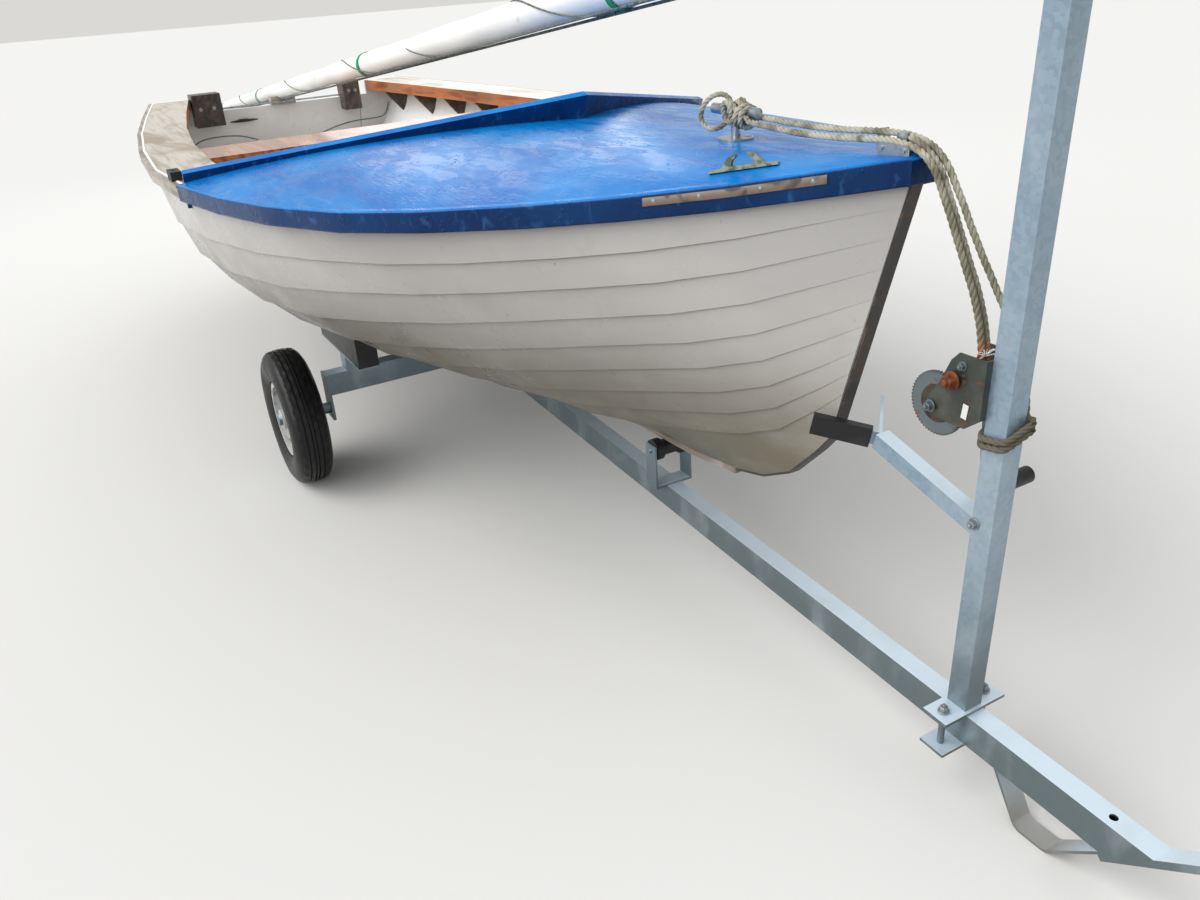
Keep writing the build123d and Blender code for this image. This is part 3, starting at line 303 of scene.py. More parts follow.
# Sailcloth: white weave, faint mildew along the folds
def sailCloth():
    material, tree, shader = newFinish("sailCloth", "#f3f3ee", 0.62)
    damp = spread(tree, noise(tree, 4, (0.5, 1, 1), 6, 0.8), 0.5, 0.72, 0, 0.7)
    tone = blendColours(tree, damp, "#f6f6f1", "#cfd2c9")
    mould = spread(tree, noise(tree, 30, (0.5, 1, 1), 5), 0.66, 0.76, 0, 0.5)
    link(tree, blendColours(tree, mould, tone, "#9aa093"), shader, "Base Color")
    addBump(tree, shader, cells(tree, 700), 0.0003, 0.4)
    shader.inputs["Sheen Weight"].default_value = 0.2
    return material


# Laid rope: weathered fibre, stained brown near the winch, with painted shade where it hangs low and at the
# lashing
def weatheredRope():
    material, tree, shader = newFinish("weatheredRope", "#a9a594", 0.8)
    grime = spread(tree, noise(tree, 26, detail=6, warp=0.4), 0.38, 0.66)
    tone = blendColours(tree, grime, "#b4b09f", "#716c5a")
    under = byHeight(tree, 0.78, 0.86, 1, 0)
    aft = spread(tree, position(tree, "X"), postX - 0.02, postX - 0.032, 0, 1)
    near = maths(tree, "MULTIPLY", under, aft)
    stain = maths(tree, "MULTIPLY", near, spread(tree, noise(tree, 40), 0.35, 0.6, 0.3, 1))
    # Darker where it hangs below the deck and darker still at the lashing's height: painted shade.
    hangingShade = byHeight(tree, 0.95, 1.08, 0.6, 0)
    tone = blendColours(tree, hangingShade, tone, "#6f6d55")
    tone = blendColours(tree, byHeight(tree, 0.71, 0.76, 0.75, 0), tone, "#534f44")
    link(tree, blendColours(tree, stain, tone, "#a4562a"), shader, "Base Color")
    addBump(tree, shader, noise(tree, 900, detail=2), 0.0004, 0.6)
    return material


# Winch plates: dark grey-green paint with rust at edges and round the bolts
def chippedWinchPaint():
    material, tree, shader = newFinish("chippedWinchPaint", "#3b3f38", 0.5)
    chips = spread(tree, noise(tree, 55, detail=6, warp=0.8), 0.58, 0.68)
    tone = blendColours(tree, spread(tree, noise(tree, 18), 0.4, 0.7), "#30342f", "#4c5149")
    link(tree, blendColours(tree, chips, tone, "#6b4128"), shader, "Base Color")
    link(tree, spread(tree, chips, 0, 1, 0.38, 0.85), shader, "Roughness")
    addBump(tree, shader, chips, 0.0004, -0.5)
    return material


finishes = {
    "topsides": gelcoatTopsides(),
    "deck_blue": wetBluePaint(),
    "varnished_wood": timber("varnishedTimber", "#c07a45", "#8a4a24", "#a98564", 0.26, 0.5),
    "weathered_wood": timber("weatheredTimber", "#a89e92", "#786c60", "#c9c4bc", 0.5, 0.25),
    "dark_wood": timber("darkTimber", "#54443a", "#2c221d", "#6f6a66", 0.5, 0.2, 34.0),
    "dark_band": metal("scuffedDarkBand", "#3f3c3b", "#6a5a4d", 0.25, 0.5, 0.3, 24.0),
    "fittings": metal("stainlessFittings", "#a9b0b5", "#6f746f", 0.3, 0.28, 0.9, 60.0),
    "bronze": metal("greyGreenBronze", "#929a8c", "#5f6a55", 0.45, 0.5, 0.55, 70.0),
    "dark_metal": metal("blackenedMetal", "#26282a", "#4b4a47", 0.25, 0.5, 0.5, 60.0),
    "alloy": metal("greyedAlloy", "#a8adb0", "#82878a", 0.35, 0.38, 0.85, 20.0),
    "sailcloth": sailCloth(),
    "galvanised": galvanisedSteel(),
    "rubber_black": rubber("blackRubber", "#141517", "#3c3e40", 0.45, 0.15),
    "winch_paint": chippedWinchPaint(),
    "winch_steel": metal("dulledWinchSteel", "#6c777b", "#7a5640", 0.2, 0.45, 0.6, 45.0),
    "tyre": rubber("wetTyreRubber", "#070909", "#131716", 0.45, 0.1),
    "rim_paint": metal("rimPaint", "#c3c6c4", "#85786a", 0.3, 0.4, 0.2, 30.0),
    "rope": weatheredRope(),
}
extra = {
    "sideDeck": timber(
        "wornSideDeck", "#b96f3a", "#7c4220", "#9a6d48", 0.35, 0.3, 26.0, ("#c9bfb1", "#9d9081", "#8d7c5e")
    ),
    "zinc": metal("brightZinc", "#8f979b", "#6d706d", 0.25, 0.42, 0.7, 80.0),
    "rust": metal("rustedSteel", "#8a4a24", "#5a3322", 0.5, 0.8, 0.2, 90.0),
    "strip": metal("dulledRubStrip", "#84766b", "#5d534c", 0.4, 0.45, 0.5, 30.0),
    "thread": metal("greyCord", "#777b76", "#4e524d", 0.4, 0.85, 0.0, 90.0),
    "green": metal("greenTie", "#22a06a", "#1b7a55", 0.3, 0.7, 0.0, 40.0),
    # A thin disc on the gear's face, darker than the gear's steel.
    "gearWell": metal("darkGearWell", "#4d4238", "#332c27", 0.4, 0.8, 0.1, 60.0),
    "label": metal("blankLabel", "#e9e9e6", "#c9c8c2", 0.1, 0.45, 0.0, 60.0),
    "ink": metal("blackLabelEdge", "#191a1b", "#2d2e2e", 0.2, 0.5, 0.0, 60.0),
}
print("materials made")


# A Geometry Nodes group that takes a mesh and the inputs named here, and its input sockets
def newGroup(name, **inputs):
    tree = bpy.data.node_groups.new(name, "GeometryNodeTree")
    for socket, kind in {"Geometry": "Geometry", **inputs}.items():
        tree.interface.new_socket(socket, in_out="INPUT", socket_type="NodeSocket" + kind)
    tree.interface.new_socket("Geometry", in_out="OUTPUT", socket_type="NodeSocketGeometry")
    return tree, addNode(tree, "NodeGroupInput").outputs


def giveOut(tree, source):
    tree.links.new(source, addNode(tree, "NodeGroupOutput").inputs[0])
    return tree


# Puts a group on a piece as a modifier, with values for its inputs
def useGroup(piece, tree, **values):
    modifier = piece.modifiers.new(tree.name, "NODES")
    modifier.node_group = tree
    for item in tree.interface.items_tree:
        if item.in_out == "INPUT" and item.name in values:
            modifier[item.identifier] = values[item.name]


# Merges a node's loose triangles and shades them smooth, but for edges sharper than Angle
mergeGap = 0.00002


def smoothTree():
    tree, given = newGroup("smoothByAngle", Angle="Float")
    merged = addNode(tree, "GeometryNodeMergeByDistance", None, {"Geometry": given[0], "Distance": mergeGap})
    whole = {0: merged.outputs[0], "Shade Smooth": True}
    soft = addNode(tree, "GeometryNodeSetShadeSmooth", {"domain": "FACE"}, whole)
    turn = addNode(tree, "GeometryNodeInputMeshEdgeAngle").outputs["Unsigned Angle"]
    sharp = addNode(tree, "FunctionNodeCompare", {"operation": "GREATER_THAN"}, {0: turn, 1: given["Angle"]})
    pick = {0: soft.outputs[0], "Selection": sharp.outputs[0], "Shade Smooth": False}
    return giveOut(tree, addNode(tree, "GeometryNodeSetShadeSmooth", {"domain": "EDGE"}, pick).outputs[0])


smoother = smoothTree()
plainAngle = 28
smoothAngle = {
    "hull_shell": 11, "foredeck": 20, "side_deck_port": 20, "side_deck_starboard": 20, "stem_band": 20,
}
nodeFinish = {"side_deck_port": extra["sideDeck"], "side_deck_starboard": extra["sideDeck"]}
roundedNodes = {"names": ("coaming_port", "coaming_starboard"), "width": 0.006, "segments": 3, "angle": 50}


def dressNodes():
    for part in frame["record"]["subparts"]:
        name = part["node"]
        piece = nodes[name]
        piece.data.materials.clear()
        piece.data.materials.append(nodeFinish.get(name, finishes[part["material_slot"]]))
        useGroup(piece, smoother, Angle=math.radians(smoothAngle.get(name, plainAngle)))
        if name in roundedNodes["names"]:
            rounding = piece.modifiers.new("roundedEdge", "BEVEL")
            rounding.width = roundedNodes["width"]
            rounding.segments = roundedNodes["segments"]
            rounding.limit_method = "ANGLE"
            rounding.angle_limit = math.radians(roundedNodes["angle"])


dressNodes()
print("CAD nodes dressed")


# A finished piece of one mesh or several: its place is in its mesh, and it rides on a body
def addPiece(name, mesh, material, body="boat_and_trolley", sharp=35):
    mesh = joined(name, mesh) if isinstance(mesh, list) else mesh
    mesh.materials.clear()
    mesh.materials.append(material)
    mesh.shade_smooth()
    mesh.set_sharp_from_angle(angle=math.radians(sharp))
    piece = bpy.data.objects.new(name, mesh)
    bpy.context.scene.collection.objects.link(piece)
    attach(piece, body)
    return piece


def meshOf(name, points, faces):
    mesh = bpy.data.meshes.new(name)
    mesh.from_pydata([tuple(p) for p in points], [], faces)
    mesh.validate()
    return mesh


# Several meshes as one
def joined(name, meshes):
    points, faces = [], []
    for mesh in meshes:
        first = len(points)
        points += [v.co.copy() for v in mesh.vertices]
        faces += [[first + i for i in p.vertices] for p in mesh.polygons]
    return meshOf(name, points, faces)


# Faces between rings of points: the last ring meets the first if closed, or else both ends are capped
def ringFaces(rings, count, closed=False):
    faces = []
    for ring in range(rings if closed else rings - 1):
        for i in range(count):
            a, b = ring * count + i, ring * count + (i + 1) % count
            c, d = (ring + 1) % rings * count + (i + 1) % count, (ring + 1) % rings * count + i
            faces.append((a, b, c, d))
    if not closed:
        faces.append(tuple(range(count - 1, -1, -1)))
        faces.append(tuple((rings - 1) * count + i for i in range(count)))
    return faces


# Two directions square to a line of points, carried along it without twist
def carriedFrames(points, closed):
    steps = np.roll(points, -1, 0) - np.roll(points, 1, 0)
    if not closed:
        steps[0], steps[-1] = points[1] - points[0], points[-1] - points[-2]
    along = steps / np.linalg.norm(steps, axis=1)[:, None]
    seed = np.array((0.0, 0.0, 1.0)) if abs(along[0][2]) < 0.9 else np.array((1.0, 0.0, 0.0))
    across = np.zeros_like(along)
    across[0] = np.cross(along[0], seed)
    across[0] /= np.linalg.norm(across[0])
    for i in range(1, len(points)):
        kept = across[i - 1] - along[i] * np.dot(across[i - 1], along[i])
        across[i] = kept / np.linalg.norm(kept)
    return across, np.cross(along, across)


# A round tube along points, with closed ends
def tubeMesh(name, points, radius, sides, closed=False):
    points = np.array([tuple(p) for p in points], float)
    across, over = carriedFrames(points, closed)
    radii = np.full(len(points), radius) if np.isscalar(radius) else np.array(radius)
    turn = np.arange(sides) * math.tau / sides
    ways = across[:, None] * np.cos(turn)[None, :, None] + over[:, None] * np.sin(turn)[None, :, None]
    rings = points[:, None] + radii[:, None, None] * ways
    return meshOf(name, rings.reshape(-1, 3), ringFaces(len(points), sides, closed))


# The line of a NURBS spline whose control points are the route's, as Blender evaluates it
def splineLine(route):
    curve = bpy.data.curves.new("route", "CURVE")
    curve.dimensions = "3D"
    curve.resolution_u = 16
    spline = curve.splines.new("NURBS")
    spline.points.add(len(route) - 1)
    for point, place in zip(spline.points, route):
        point.co = (*at(*place), 1)
    spline.order_u = 3
    spline.use_endpoint_u = True
    holder = bpy.data.objects.new("route", curve)
    bpy.context.scene.collection.objects.link(holder)
    bpy.context.view_layer.update()
    mesh = bpy.data.meshes.new_from_object(holder.evaluated_get(bpy.context.evaluated_depsgraph_get()))
    line = np.array([tuple(v.co) for v in mesh.vertices])
    bpy.data.objects.remove(holder)
    return line


# The same line with points at an even distance
def evenly(line, step):
    lengths = np.concatenate([[0], np.cumsum(np.linalg.norm(np.diff(line, axis=0), axis=1))])
    places = np.linspace(0, lengths[-1], max(3, int(lengths[-1] / step)))
    return np.stack([np.interp(places, lengths, line[:, i]) for i in range(3)], 1)


# Three-strand laid rope along a line: lengths are shares of its radius
ropeLay = {"strands": 3, "pitch": 6.4, "steps": 12, "sides": 7, "offset": 0.5, "thick": 0.56}


def laidRope(name, line, radius, closed=False):
    line = evenly(line, ropeLay["pitch"] * radius / ropeLay["steps"])
    if closed:
        line = line[:-1]
    across, over = carriedFrames(line, closed)
    travelled = np.arange(len(line)) * math.tau / ropeLay["steps"]
    strands = []
    for strand in range(ropeLay["strands"]):
        turn = travelled + strand * math.tau / ropeLay["strands"]
        way = across * np.cos(turn)[:, None] + over * np.sin(turn)[:, None]
        centre = line + ropeLay["offset"] * radius * way
        strands.append(tubeMesh(name, centre, radius * ropeLay["thick"], ropeLay["sides"], closed))
    return joined(name, strands)


# Painter: its routes are the part's own, in metres from the post
ropeRadius = 0.0055
toPost = [
    (-0.606, 0.015, 1.098), (-0.5, 0.015, 1.094), (-0.405, 0.013, 1.095), (-0.31, 0.017, 1.101),
    (-0.222, 0.018, 1.103), (-0.163, 0.012, 1.082), (-0.128, 0.013, 1.03), (-0.09, 0.018, 0.96),
    (-0.046, 0.025, 0.888), (0.005, 0.026, 0.818), (0.022, 0.026, 0.765), (0.028, 0.026, 0.702),
]
toWinch = [
    (-0.606, -0.012, 1.093), (-0.5, -0.014, 1.087), (-0.405, -0.012, 1.086), (-0.31, -0.017, 1.093),
    (-0.222, -0.018, 1.099), (-0.166, -0.012, 1.081), (-0.13, -0.011, 1.02), (-0.092, -0.009, 0.945),
    (-0.056, -0.007, 0.875), (-0.037, -0.006, 0.8), (-0.044, -0.006, 0.752), (-0.0665, -0.006, 0.712),
]
secondPart = [
    (-0.219, 0, 1.103), (-0.166, 0, 1.083), (-0.132, 0.001, 1.022), (-0.095, 0.003, 0.948),
    (-0.058, 0.005, 0.877), (-0.037, 0.006, 0.8), (-0.044, 0.006, 0.752), (-0.0665, 0.006, 0.712),
]
softening = {"step": 0.004, "passes": 2}
lashing = {
    "x": 0.0115, "half": 0.0258, "heights": (0.698, 0.6862), "corner": 0.008, "cornerSteps": 4, "tilt": 0.013,
    "lean": 0.004, "slack": 0.005,
}
cleat = {"x": -0.66, "barZ": 1.107, "barRadius": 0.01}
knot = {
    "turns": 4, "steps": 96, "lead": 0.052, "swell": 0.0035, "swellTurn": 0.41, "barRope": 0.95, "rope": 0.9,
    "wraps": ((0.026, -0.008, 0.019), (0.04, -0.01, 0.018)), "wrapSteps": 24, "wrapWide": 1.12,
    "wrapLean": 0.004,
    "bight": (
        (-0.606, 0.012, 1.096), (-0.64, 0.016, 1.112), (-0.668, 0.02, 1.126), (-0.684, 0.012, 1.108),
        (-0.672, 0.0, 1.089), (-0.64, -0.008, 1.09), (-0.606, -0.004, 1.094),
    ),
}
loop = {"centre": (-0.694, -0.02, 1.105), "radius": 0.032, "tilt": 70, "turn": 26, "steps": 48, "oval": 0.05}


# A closed line with its corners eased: each pass averages neighbours
def softened(line):
    line = evenly(line, softening["step"])[:-1]
    for _ in range(softening["passes"]):
        line = (np.roll(line, 1, 0) + 2 * line + np.roll(line, -1, 0)) / 4
    return np.vstack([line, line[:1]])


def lashingTurns():
    turns = []
    reach, corner = lashing["half"], lashing["corner"]
    for height in lashing["heights"]:
        square = []
        for sideX, sideY in ((1, 1), (-1, 1), (-1, -1), (1, -1)):
            for step in range(lashing["cornerSteps"] + 1):
                angle = math.atan2(sideY, sideX) - math.pi / 4 + step * math.pi / 2 / lashing["cornerSteps"]
                x = lashing["x"] + sideX * (reach - corner) + corner * math.cos(angle)
                y = sideY * (reach - corner) + corner * math.sin(angle)
                loose = lashing["slack"] if sideX > 0 and sideY > 0 else 0
                rise = lashing["tilt"] * y / reach + lashing["lean"] * (x - lashing["x"]) / reach
                square.append(tuple(at(x + loose, y + loose, height + rise)))
        square.append(square[0])
        turns.append(laidRope("lashing", softened(np.array(square)), ropeRadius, True))
    return turns


# Turns over the cleat's bar, then two wraps and two bights round the parts that lead forward
def knotTurns():
    radius = cleat["barRadius"] + ropeRadius * 0.96
    thin = ropeRadius * knot["rope"]
    overBar = []
    for step in range(knot["steps"] + 1):
        angle = step * knot["turns"] * math.tau / knot["steps"]
        lead = -knot["lead"] / 2 + knot["lead"] * step / knot["steps"]
        swell = radius + knot["swell"] * math.sin(step * knot["swellTurn"])
        x, z = cleat["x"] + swell * math.cos(angle), cleat["barZ"] + swell * math.sin(angle)
        overBar.append(at(x, lead, z))
    turns = [laidRope("overBar", np.array(overBar), ropeRadius * knot["barRope"])]
    for shift, height, size in knot["wraps"]:
        wrap = []
        for step in range(knot["wrapSteps"] + 1):
            angle = step * math.tau / knot["wrapSteps"]
            x = cleat["x"] + shift + knot["wrapLean"] * math.sin(angle)
            wide = knot["wrapWide"] * size * math.cos(angle)
            wrap.append(at(x, wide, cleat["barZ"] + height + size * math.sin(angle)))
        turns.append(laidRope("wrap", np.array(wrap), thin, True))
    for side in (1, -1):
        bight = [(x, y * side, z) for x, y, z in knot["bight"]]
        turns.append(laidRope("bight", splineLine(bight), thin))
    return turns


def loopMesh():
    turn, tilt = math.radians(loop["turn"]), math.radians(loop["tilt"])
    turned = Matrix.Rotation(turn, 4, "Z") @ Matrix.Rotation(tilt, 4, "X")
    place = Matrix.Translation(at(*loop["centre"])) @ turned
    ring = []
    for step in range(loop["steps"] + 1):
        angle = step * math.tau / loop["steps"]
        size = loop["radius"] * (1 + loop["oval"] * math.sin(2 * angle))
        ring.append(tuple(place @ Vector((size * math.cos(angle), size * math.sin(angle), 0))))
    return laidRope("painterLoopRope", np.array(ring), ropeRadius * knot["rope"], True)


def addPainter():
    rope = finishes["rope"]
    for name, route, node in (
        ("painterToPostRope", toPost, "painter_to_post"),
        ("painterToWinchRope", toWinch, "painter_to_winch"),
        ("painterSecondPartRope", secondPart, "painter_second_part"),
    ):
        piece = addPiece(name, laidRope(name, splineLine(route), ropeRadius), rope)
        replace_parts(piece, node)
    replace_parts(addPiece("postLashingRope", lashingTurns(), rope), "post_lashing")
    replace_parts(addPiece("painterKnotRope", knotTurns(), rope), "painter_knot")
    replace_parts(addPiece("painterLoopRope", loopMesh(), rope), "painter_loop")


addPainter()
print("ropes laid")


# The sail: a triangular cut rolled round the mast, foot forward, as one sheet of cloth
# Each cord has its two ends, turns, first angle, lift off the roll and radius, each tie its place and width
sail = {
    "foreX": -0.25, "aftX": -6.08, "foot": 2.35, "head": 0.26, "innerRadius": 0.0305, "foreRadius": 0.043,
    "aftRadius": 0.034, "columns": 300, "rows": 150, "slope": 0.12, "atX": -1.508, "atZ": 1.27,
    "firstTurn": -0.9, "twist": 0.7, "foldLength": 1.2, "cordSteps": 40, "cordSides": 6, "tieSteps": 40,
    "tieLift": 0.002, "tieThick": 0.0016, "ties": ((-2.925, 0.022), (-4.93, 0.016), (-1.05, 0.02)),
    "cords": (
        (-0.7, -2.35, 1.7, 0.4, 0.0026, 0.0022),
        (-2.55, -4.7, 2.0, 2.1, 0.0026, 0.0022),
        (-4.75, -5.95, 1.4, 0.2, 0.0026, 0.0022),
        (-0.6, -6.0, 0.12, math.pi - 0.25, 0.006, 0.0038),
        (-0.9, -5.6, -0.1, math.pi + 0.5, 0.005, 0.003),
    ),
}


# A place round the mast's middle line
def rollPlace(x, size, turn):
    middle = sail["atZ"] + sail["slope"] * (x - sail["atX"])
    return at(x, size * math.sin(turn), middle + size * math.cos(turn))


# The roll's outer radius at a share of its length from the fore end
def rollRadius(share):
    return sail["foreRadius"] + (sail["aftRadius"] - sail["foreRadius"]) * share


def rollShare(x):
    return (sail["foreX"] - x) / (sail["foreX"] - sail["aftX"])


# Small folds that wind round the roll, the same in every layer
def foldHeight(along, turn):
    slow = math.sin(2.1 * along * math.tau + 2 * turn + 1.3 * math.sin(5.0 * along))
    quick = math.sin(6.4 * along * math.tau - 3 * turn + 2.0 * math.sin(8.0 * along + turn))
    return 0.0011 * slow + 0.0008 * quick


def sailMesh():
    length = sail["foreX"] - sail["aftX"]
    inner = sail["innerRadius"]
    points, faces = [], []
    for row in range(sail["rows"] + 1):
        share = row / sail["rows"]
        x = sail["foreX"] - share * length
        outer = rollRadius(share)
        cloth = sail["foot"] * (1 - share) + sail["head"]
        turns = cloth / (math.pi * (inner + outer))
        for column in range(sail["columns"] + 1):
            done = column / sail["columns"]
            turn = math.tau * turns * done + sail["firstTurn"] + sail["twist"] * share
            size = inner + (outer - inner) * done + foldHeight(share * length / sail["foldLength"], turn)
            points.append(rollPlace(x, size, turn))
    across = sail["columns"] + 1
    for row in range(sail["rows"]):
        for column in range(sail["columns"]):
            a = row * across + column
            faces.append((a, a + across, a + across + 1, a + 1))
    return meshOf("furledSailCloth", points, faces)


# Cords that wind along the roll, and green ties round it
def windingCord(start, end, turnsCount, phase, lift, radius):
    line = []
    count = sail["cordSteps"] * max(1, int(turnsCount))
    for step in range(count + 1):
        share = step / count
        x = start + (end - start) * share
        line.append(rollPlace(x, rollRadius(rollShare(x)) + lift, phase + math.tau * turnsCount * share))
    return tubeMesh("cord", line, radius, sail["cordSides"])


def tieMesh(x, width):
    size = rollRadius(rollShare(x)) + sail["tieLift"]
    count = sail["tieSteps"]
    points = []
    for edge, thick in ((-0.5, 0), (-0.5, sail["tieThick"]), (0.5, sail["tieThick"]), (0.5, 0)):
        points += [rollPlace(x + edge * width, size + thick, i * math.tau / count) for i in range(count)]
    return meshOf("tie", points, ringFaces(4, count, True))


def addSail():
    cloth = addPiece("furledSailCloth", sailMesh(), finishes["sailcloth"], sharp=70)
    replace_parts(cloth, "furled_sail")
    cords = [windingCord(*cord) for cord in sail["cords"]]
    addPiece("sailLashingCords", cords, extra["thread"])
    ties = [tieMesh(*tie) for tie in sail["ties"]]
    addPiece("sailTies", ties, extra["green"])


addSail()
print("sail rolled")


# Repeats the mesh that it is given: Count copies, each moved by Step and turned by Turn more than the last
def repeatTree():
    tree, given = newGroup("repeatPiece", Count="Int", Step="Vector", Turn="Vector", Material="Material")
    run = {"Count": given["Count"], "Offset": given["Step"]}
    line = addNode(tree, "GeometryNodeMeshLine", {"mode": "OFFSET"}, run)
    scale = {0: given["Turn"], "Scale": addNode(tree, "GeometryNodeInputIndex").outputs[0]}
    turn = addNode(tree, "ShaderNodeVectorMath", {"operation": "SCALE"}, scale).outputs[0]
    angle = addNode(tree, "FunctionNodeEulerToRotation", None, {0: turn}).outputs[0]
    copies = {"Points": line.outputs[0], "Instance": given["Geometry"], "Rotation": angle}
    placed = addNode(tree, "GeometryNodeInstanceOnPoints", None, copies)
    real = addNode(tree, "GeometryNodeRealizeInstances", None, {0: placed.outputs[0]})
    paint = {0: real.outputs[0], "Material": given["Material"]}
    return giveOut(tree, addNode(tree, "GeometryNodeSetMaterial", None, paint).outputs[0])


repeater = repeatTree()


# The repeated mesh, turned and moved to its place
def repeated(name, mesh, count, step, turn, material, place):
    holder = bpy.data.objects.new(name, mesh)
    bpy.context.scene.collection.objects.link(holder)
    useGroup(holder, repeater, Count=count, Step=step, Turn=turn, Material=material)
    bpy.context.view_layer.update()
    made = bpy.data.meshes.new_from_object(holder.evaluated_get(bpy.context.evaluated_depsgraph_get()))
    bpy.data.objects.remove(holder)
    made.transform(place)
    return made


# A prism on an outline in its own x and y, from z 0 to a height, its upper edge bevelled
def prism(outline, height, bevel=0.0):
    count = len(outline)
    centre = Vector((sum(p[0] for p in outline) / count, sum(p[1] for p in outline) / count))
    levels = [(0.0, 0.0), (0.0, height - bevel), (bevel, height)] if bevel else [(0.0, 0.0), (0.0, height)]
    points = []
    for inset, level in levels:
        for x, y in outline:
            way = centre - Vector((x, y))
            shift = way.normalized() * inset if way.length else way
            points.append((x + shift.x, y + shift.y, level))
    return meshOf("prism", points, ringFaces(len(levels), count))


def circle(radius, count):
    turns = [i * math.tau / count for i in range(count)]
    return [(radius * math.cos(t), radius * math.sin(t)) for t in turns]


# A solid turned from (radius, height) pairs about its own z
def turnedSolid(profile, count):
    points = [(x, y, height) for radius, height in profile for x, y in circle(radius, count)]
    return meshOf("turned", points, ringFaces(len(profile), count))


# Matrix that stands a mesh's z along a direction at a place
def standing(place, direction, spin=0.0):
    turn = Vector((0, 0, 1)).rotation_difference(Vector(direction)).to_matrix().to_4x4()
    return Matrix.Translation(place) @ turn @ Matrix.Rotation(spin, 4, "Z")


# The mesh itself, with its z stood along a direction at a place
def stood(mesh, place, direction, spin=0.0):
    mesh.transform(standing(place, direction, spin))
    return mesh


# Stands a prism up: its outline's y runs up and its height runs to starboard
upright = Matrix(((1, 0, 0, 0), (0, 0, -1, 0), (0, 1, 0, 0), (0, 0, 0, 1)))
washerThick = 0.0018
smallSides = 20


# Hexagon bolt head on a washer, across is its size over the flats
def boltMesh(across):
    rim = [(across * 0.75, 0), (across * 0.78, 0.0004), (across * 0.78, 0.0014), (across * 0.74, washerThick)]
    high = across * 0.62
    head = prism(circle(across / math.sqrt(3), 6), high, across * 0.06)
    head.transform(Matrix.Translation((0, 0, washerThick)))
    tip = [(across * 0.27, 0), (across * 0.27, across * 0.28), (across * 0.2, across * 0.34)]
    stub = turnedSolid(tip, 16)
    stub.transform(Matrix.Translation((0, 0, washerThick + high)))
    return joined("bolt", [turnedSolid(rim, 24), head, stub])


# Bolts of the foot plate and of the bow stop's arm: place in metres from the post, direction of the head
bolts = {
    "across": 0.013, "spin": 0.2,
    "places": (
        ((0.0, 0.05, 0.1665), (0, 0, 1)), ((0.0, -0.05, 0.1665), (0, 0, 1)),
        ((-0.006, -0.0205, 0.53), (0, -1, 0)), ((-0.006, 0.0205, 0.53), (0, 1, 0)),
    ),
}
heads = [stood(boltMesh(bolts["across"]), at(*place), way, bolts["spin"]) for place, way in bolts["places"]]
addPiece("trolleyBolts", heads, extra["zinc"])
print("bolts placed")


# Turns every face of a closed mesh outwards
def outwards(mesh):
    work = bmesh.new()
    work.from_mesh(mesh)
    bmesh.ops.recalc_face_normals(work, faces=work.faces)
    work.to_mesh(mesh)
    work.free()
    return mesh


# The surface of CAD nodes, to cast rays against
def solidTree(*names):
    points, faces = [], []
    for name in names:
        first = len(points)
        points += [v.co.copy() for v in nodes[name].data.vertices]
        faces += [[first + i for i in p.vertices] for p in nodes[name].data.polygons]
    return BVHTree.FromPolygons(points, faces)


# A closed strip through places: each has its outward way and a section of (out, up) pairs
def stripMesh(places, ways, sections):
    points = []
    for place, way, section in zip(places, ways, sections):
        points += [place + way * out + Vector((0, 0, up)) for out, up in section]
    return outwards(meshOf("strip", points, ringFaces(len(places), len(sections[0]))))


# Painted edge: the deck cloth rolled over the strake, one rounded skin from the deck to the strake's foot
deckEdge = {
    "aftX": -1.985, "foreX": -0.1905, "count": 80, "radius": 0.0055, "proud": 0.0016, "bowProud": 0.0075,
    "drop": 0.0412, "above": 2, "reach": 1.0, "step": 0.004, "halvings": 14, "inside": 0.0003, "bends": 6,
    "inboard": (0.018, 0.01), "sink": 0.001, "ease": 0.0008, "lift": 0.0004, "round": 0.003, "under": 0.0025,
    "back": (-0.006, -0.01),
}
down = Vector((0, 0, -1))
deck = solidTree("foredeck")


def deckHeight(place):
    return deck.ray_cast(Vector((place.x, place.y, deckEdge["above"])), down)[0]


def edgePlace(x, side):
    reach, step = deckEdge["reach"], deckEdge["step"]
    while reach > step and not deckHeight(at(x, side * reach, 0)):
        reach -= step
    outside = reach + step
    for _ in range(deckEdge["halvings"]):
        middle = (reach + outside) / 2
        reach, outside = (middle, outside) if deckHeight(at(x, side * middle, 0)) else (reach, middle)
    return at(x, side * reach, deckHeight(at(x, side * (reach - deckEdge["inside"]), 0)).z)


def outwardWays(places):
    ways = []
    for i in range(len(places)):
        run = places[min(i + 1, len(places) - 1)] - places[max(i - 1, 0)]
        ways.append(Vector((run.y, -run.x, 0)).normalized())
    return ways


def edgeSection(place, way, proud):
    far, near = deckEdge["inboard"]
    hits = [deckHeight(place - way * reach) for reach in (far, near)]
    rises = [hit.z - place.z if hit else 0.0 for hit in hits]
    section = [(-far, rises[0] - deckEdge["sink"]), (-near, rises[1] + deckEdge["ease"])]
    radius = deckEdge["radius"]
    centre = radius - deckEdge["proud"]
    for step in range(deckEdge["bends"] + 1):
        turn = math.pi / 2 * (1 - step / deckEdge["bends"])
        out = radius * math.cos(turn) - centre
        bowOut = (proud - deckEdge["proud"]) * math.cos(turn)
        section.append((out + bowOut, radius * math.sin(turn) - centre + deckEdge["lift"]))
    foot, back = -deckEdge["drop"], deckEdge["back"]
    section += [(proud, foot + deckEdge["round"]), (proud - deckEdge["under"], foot)]
    return section + [(back[0], foot), back]


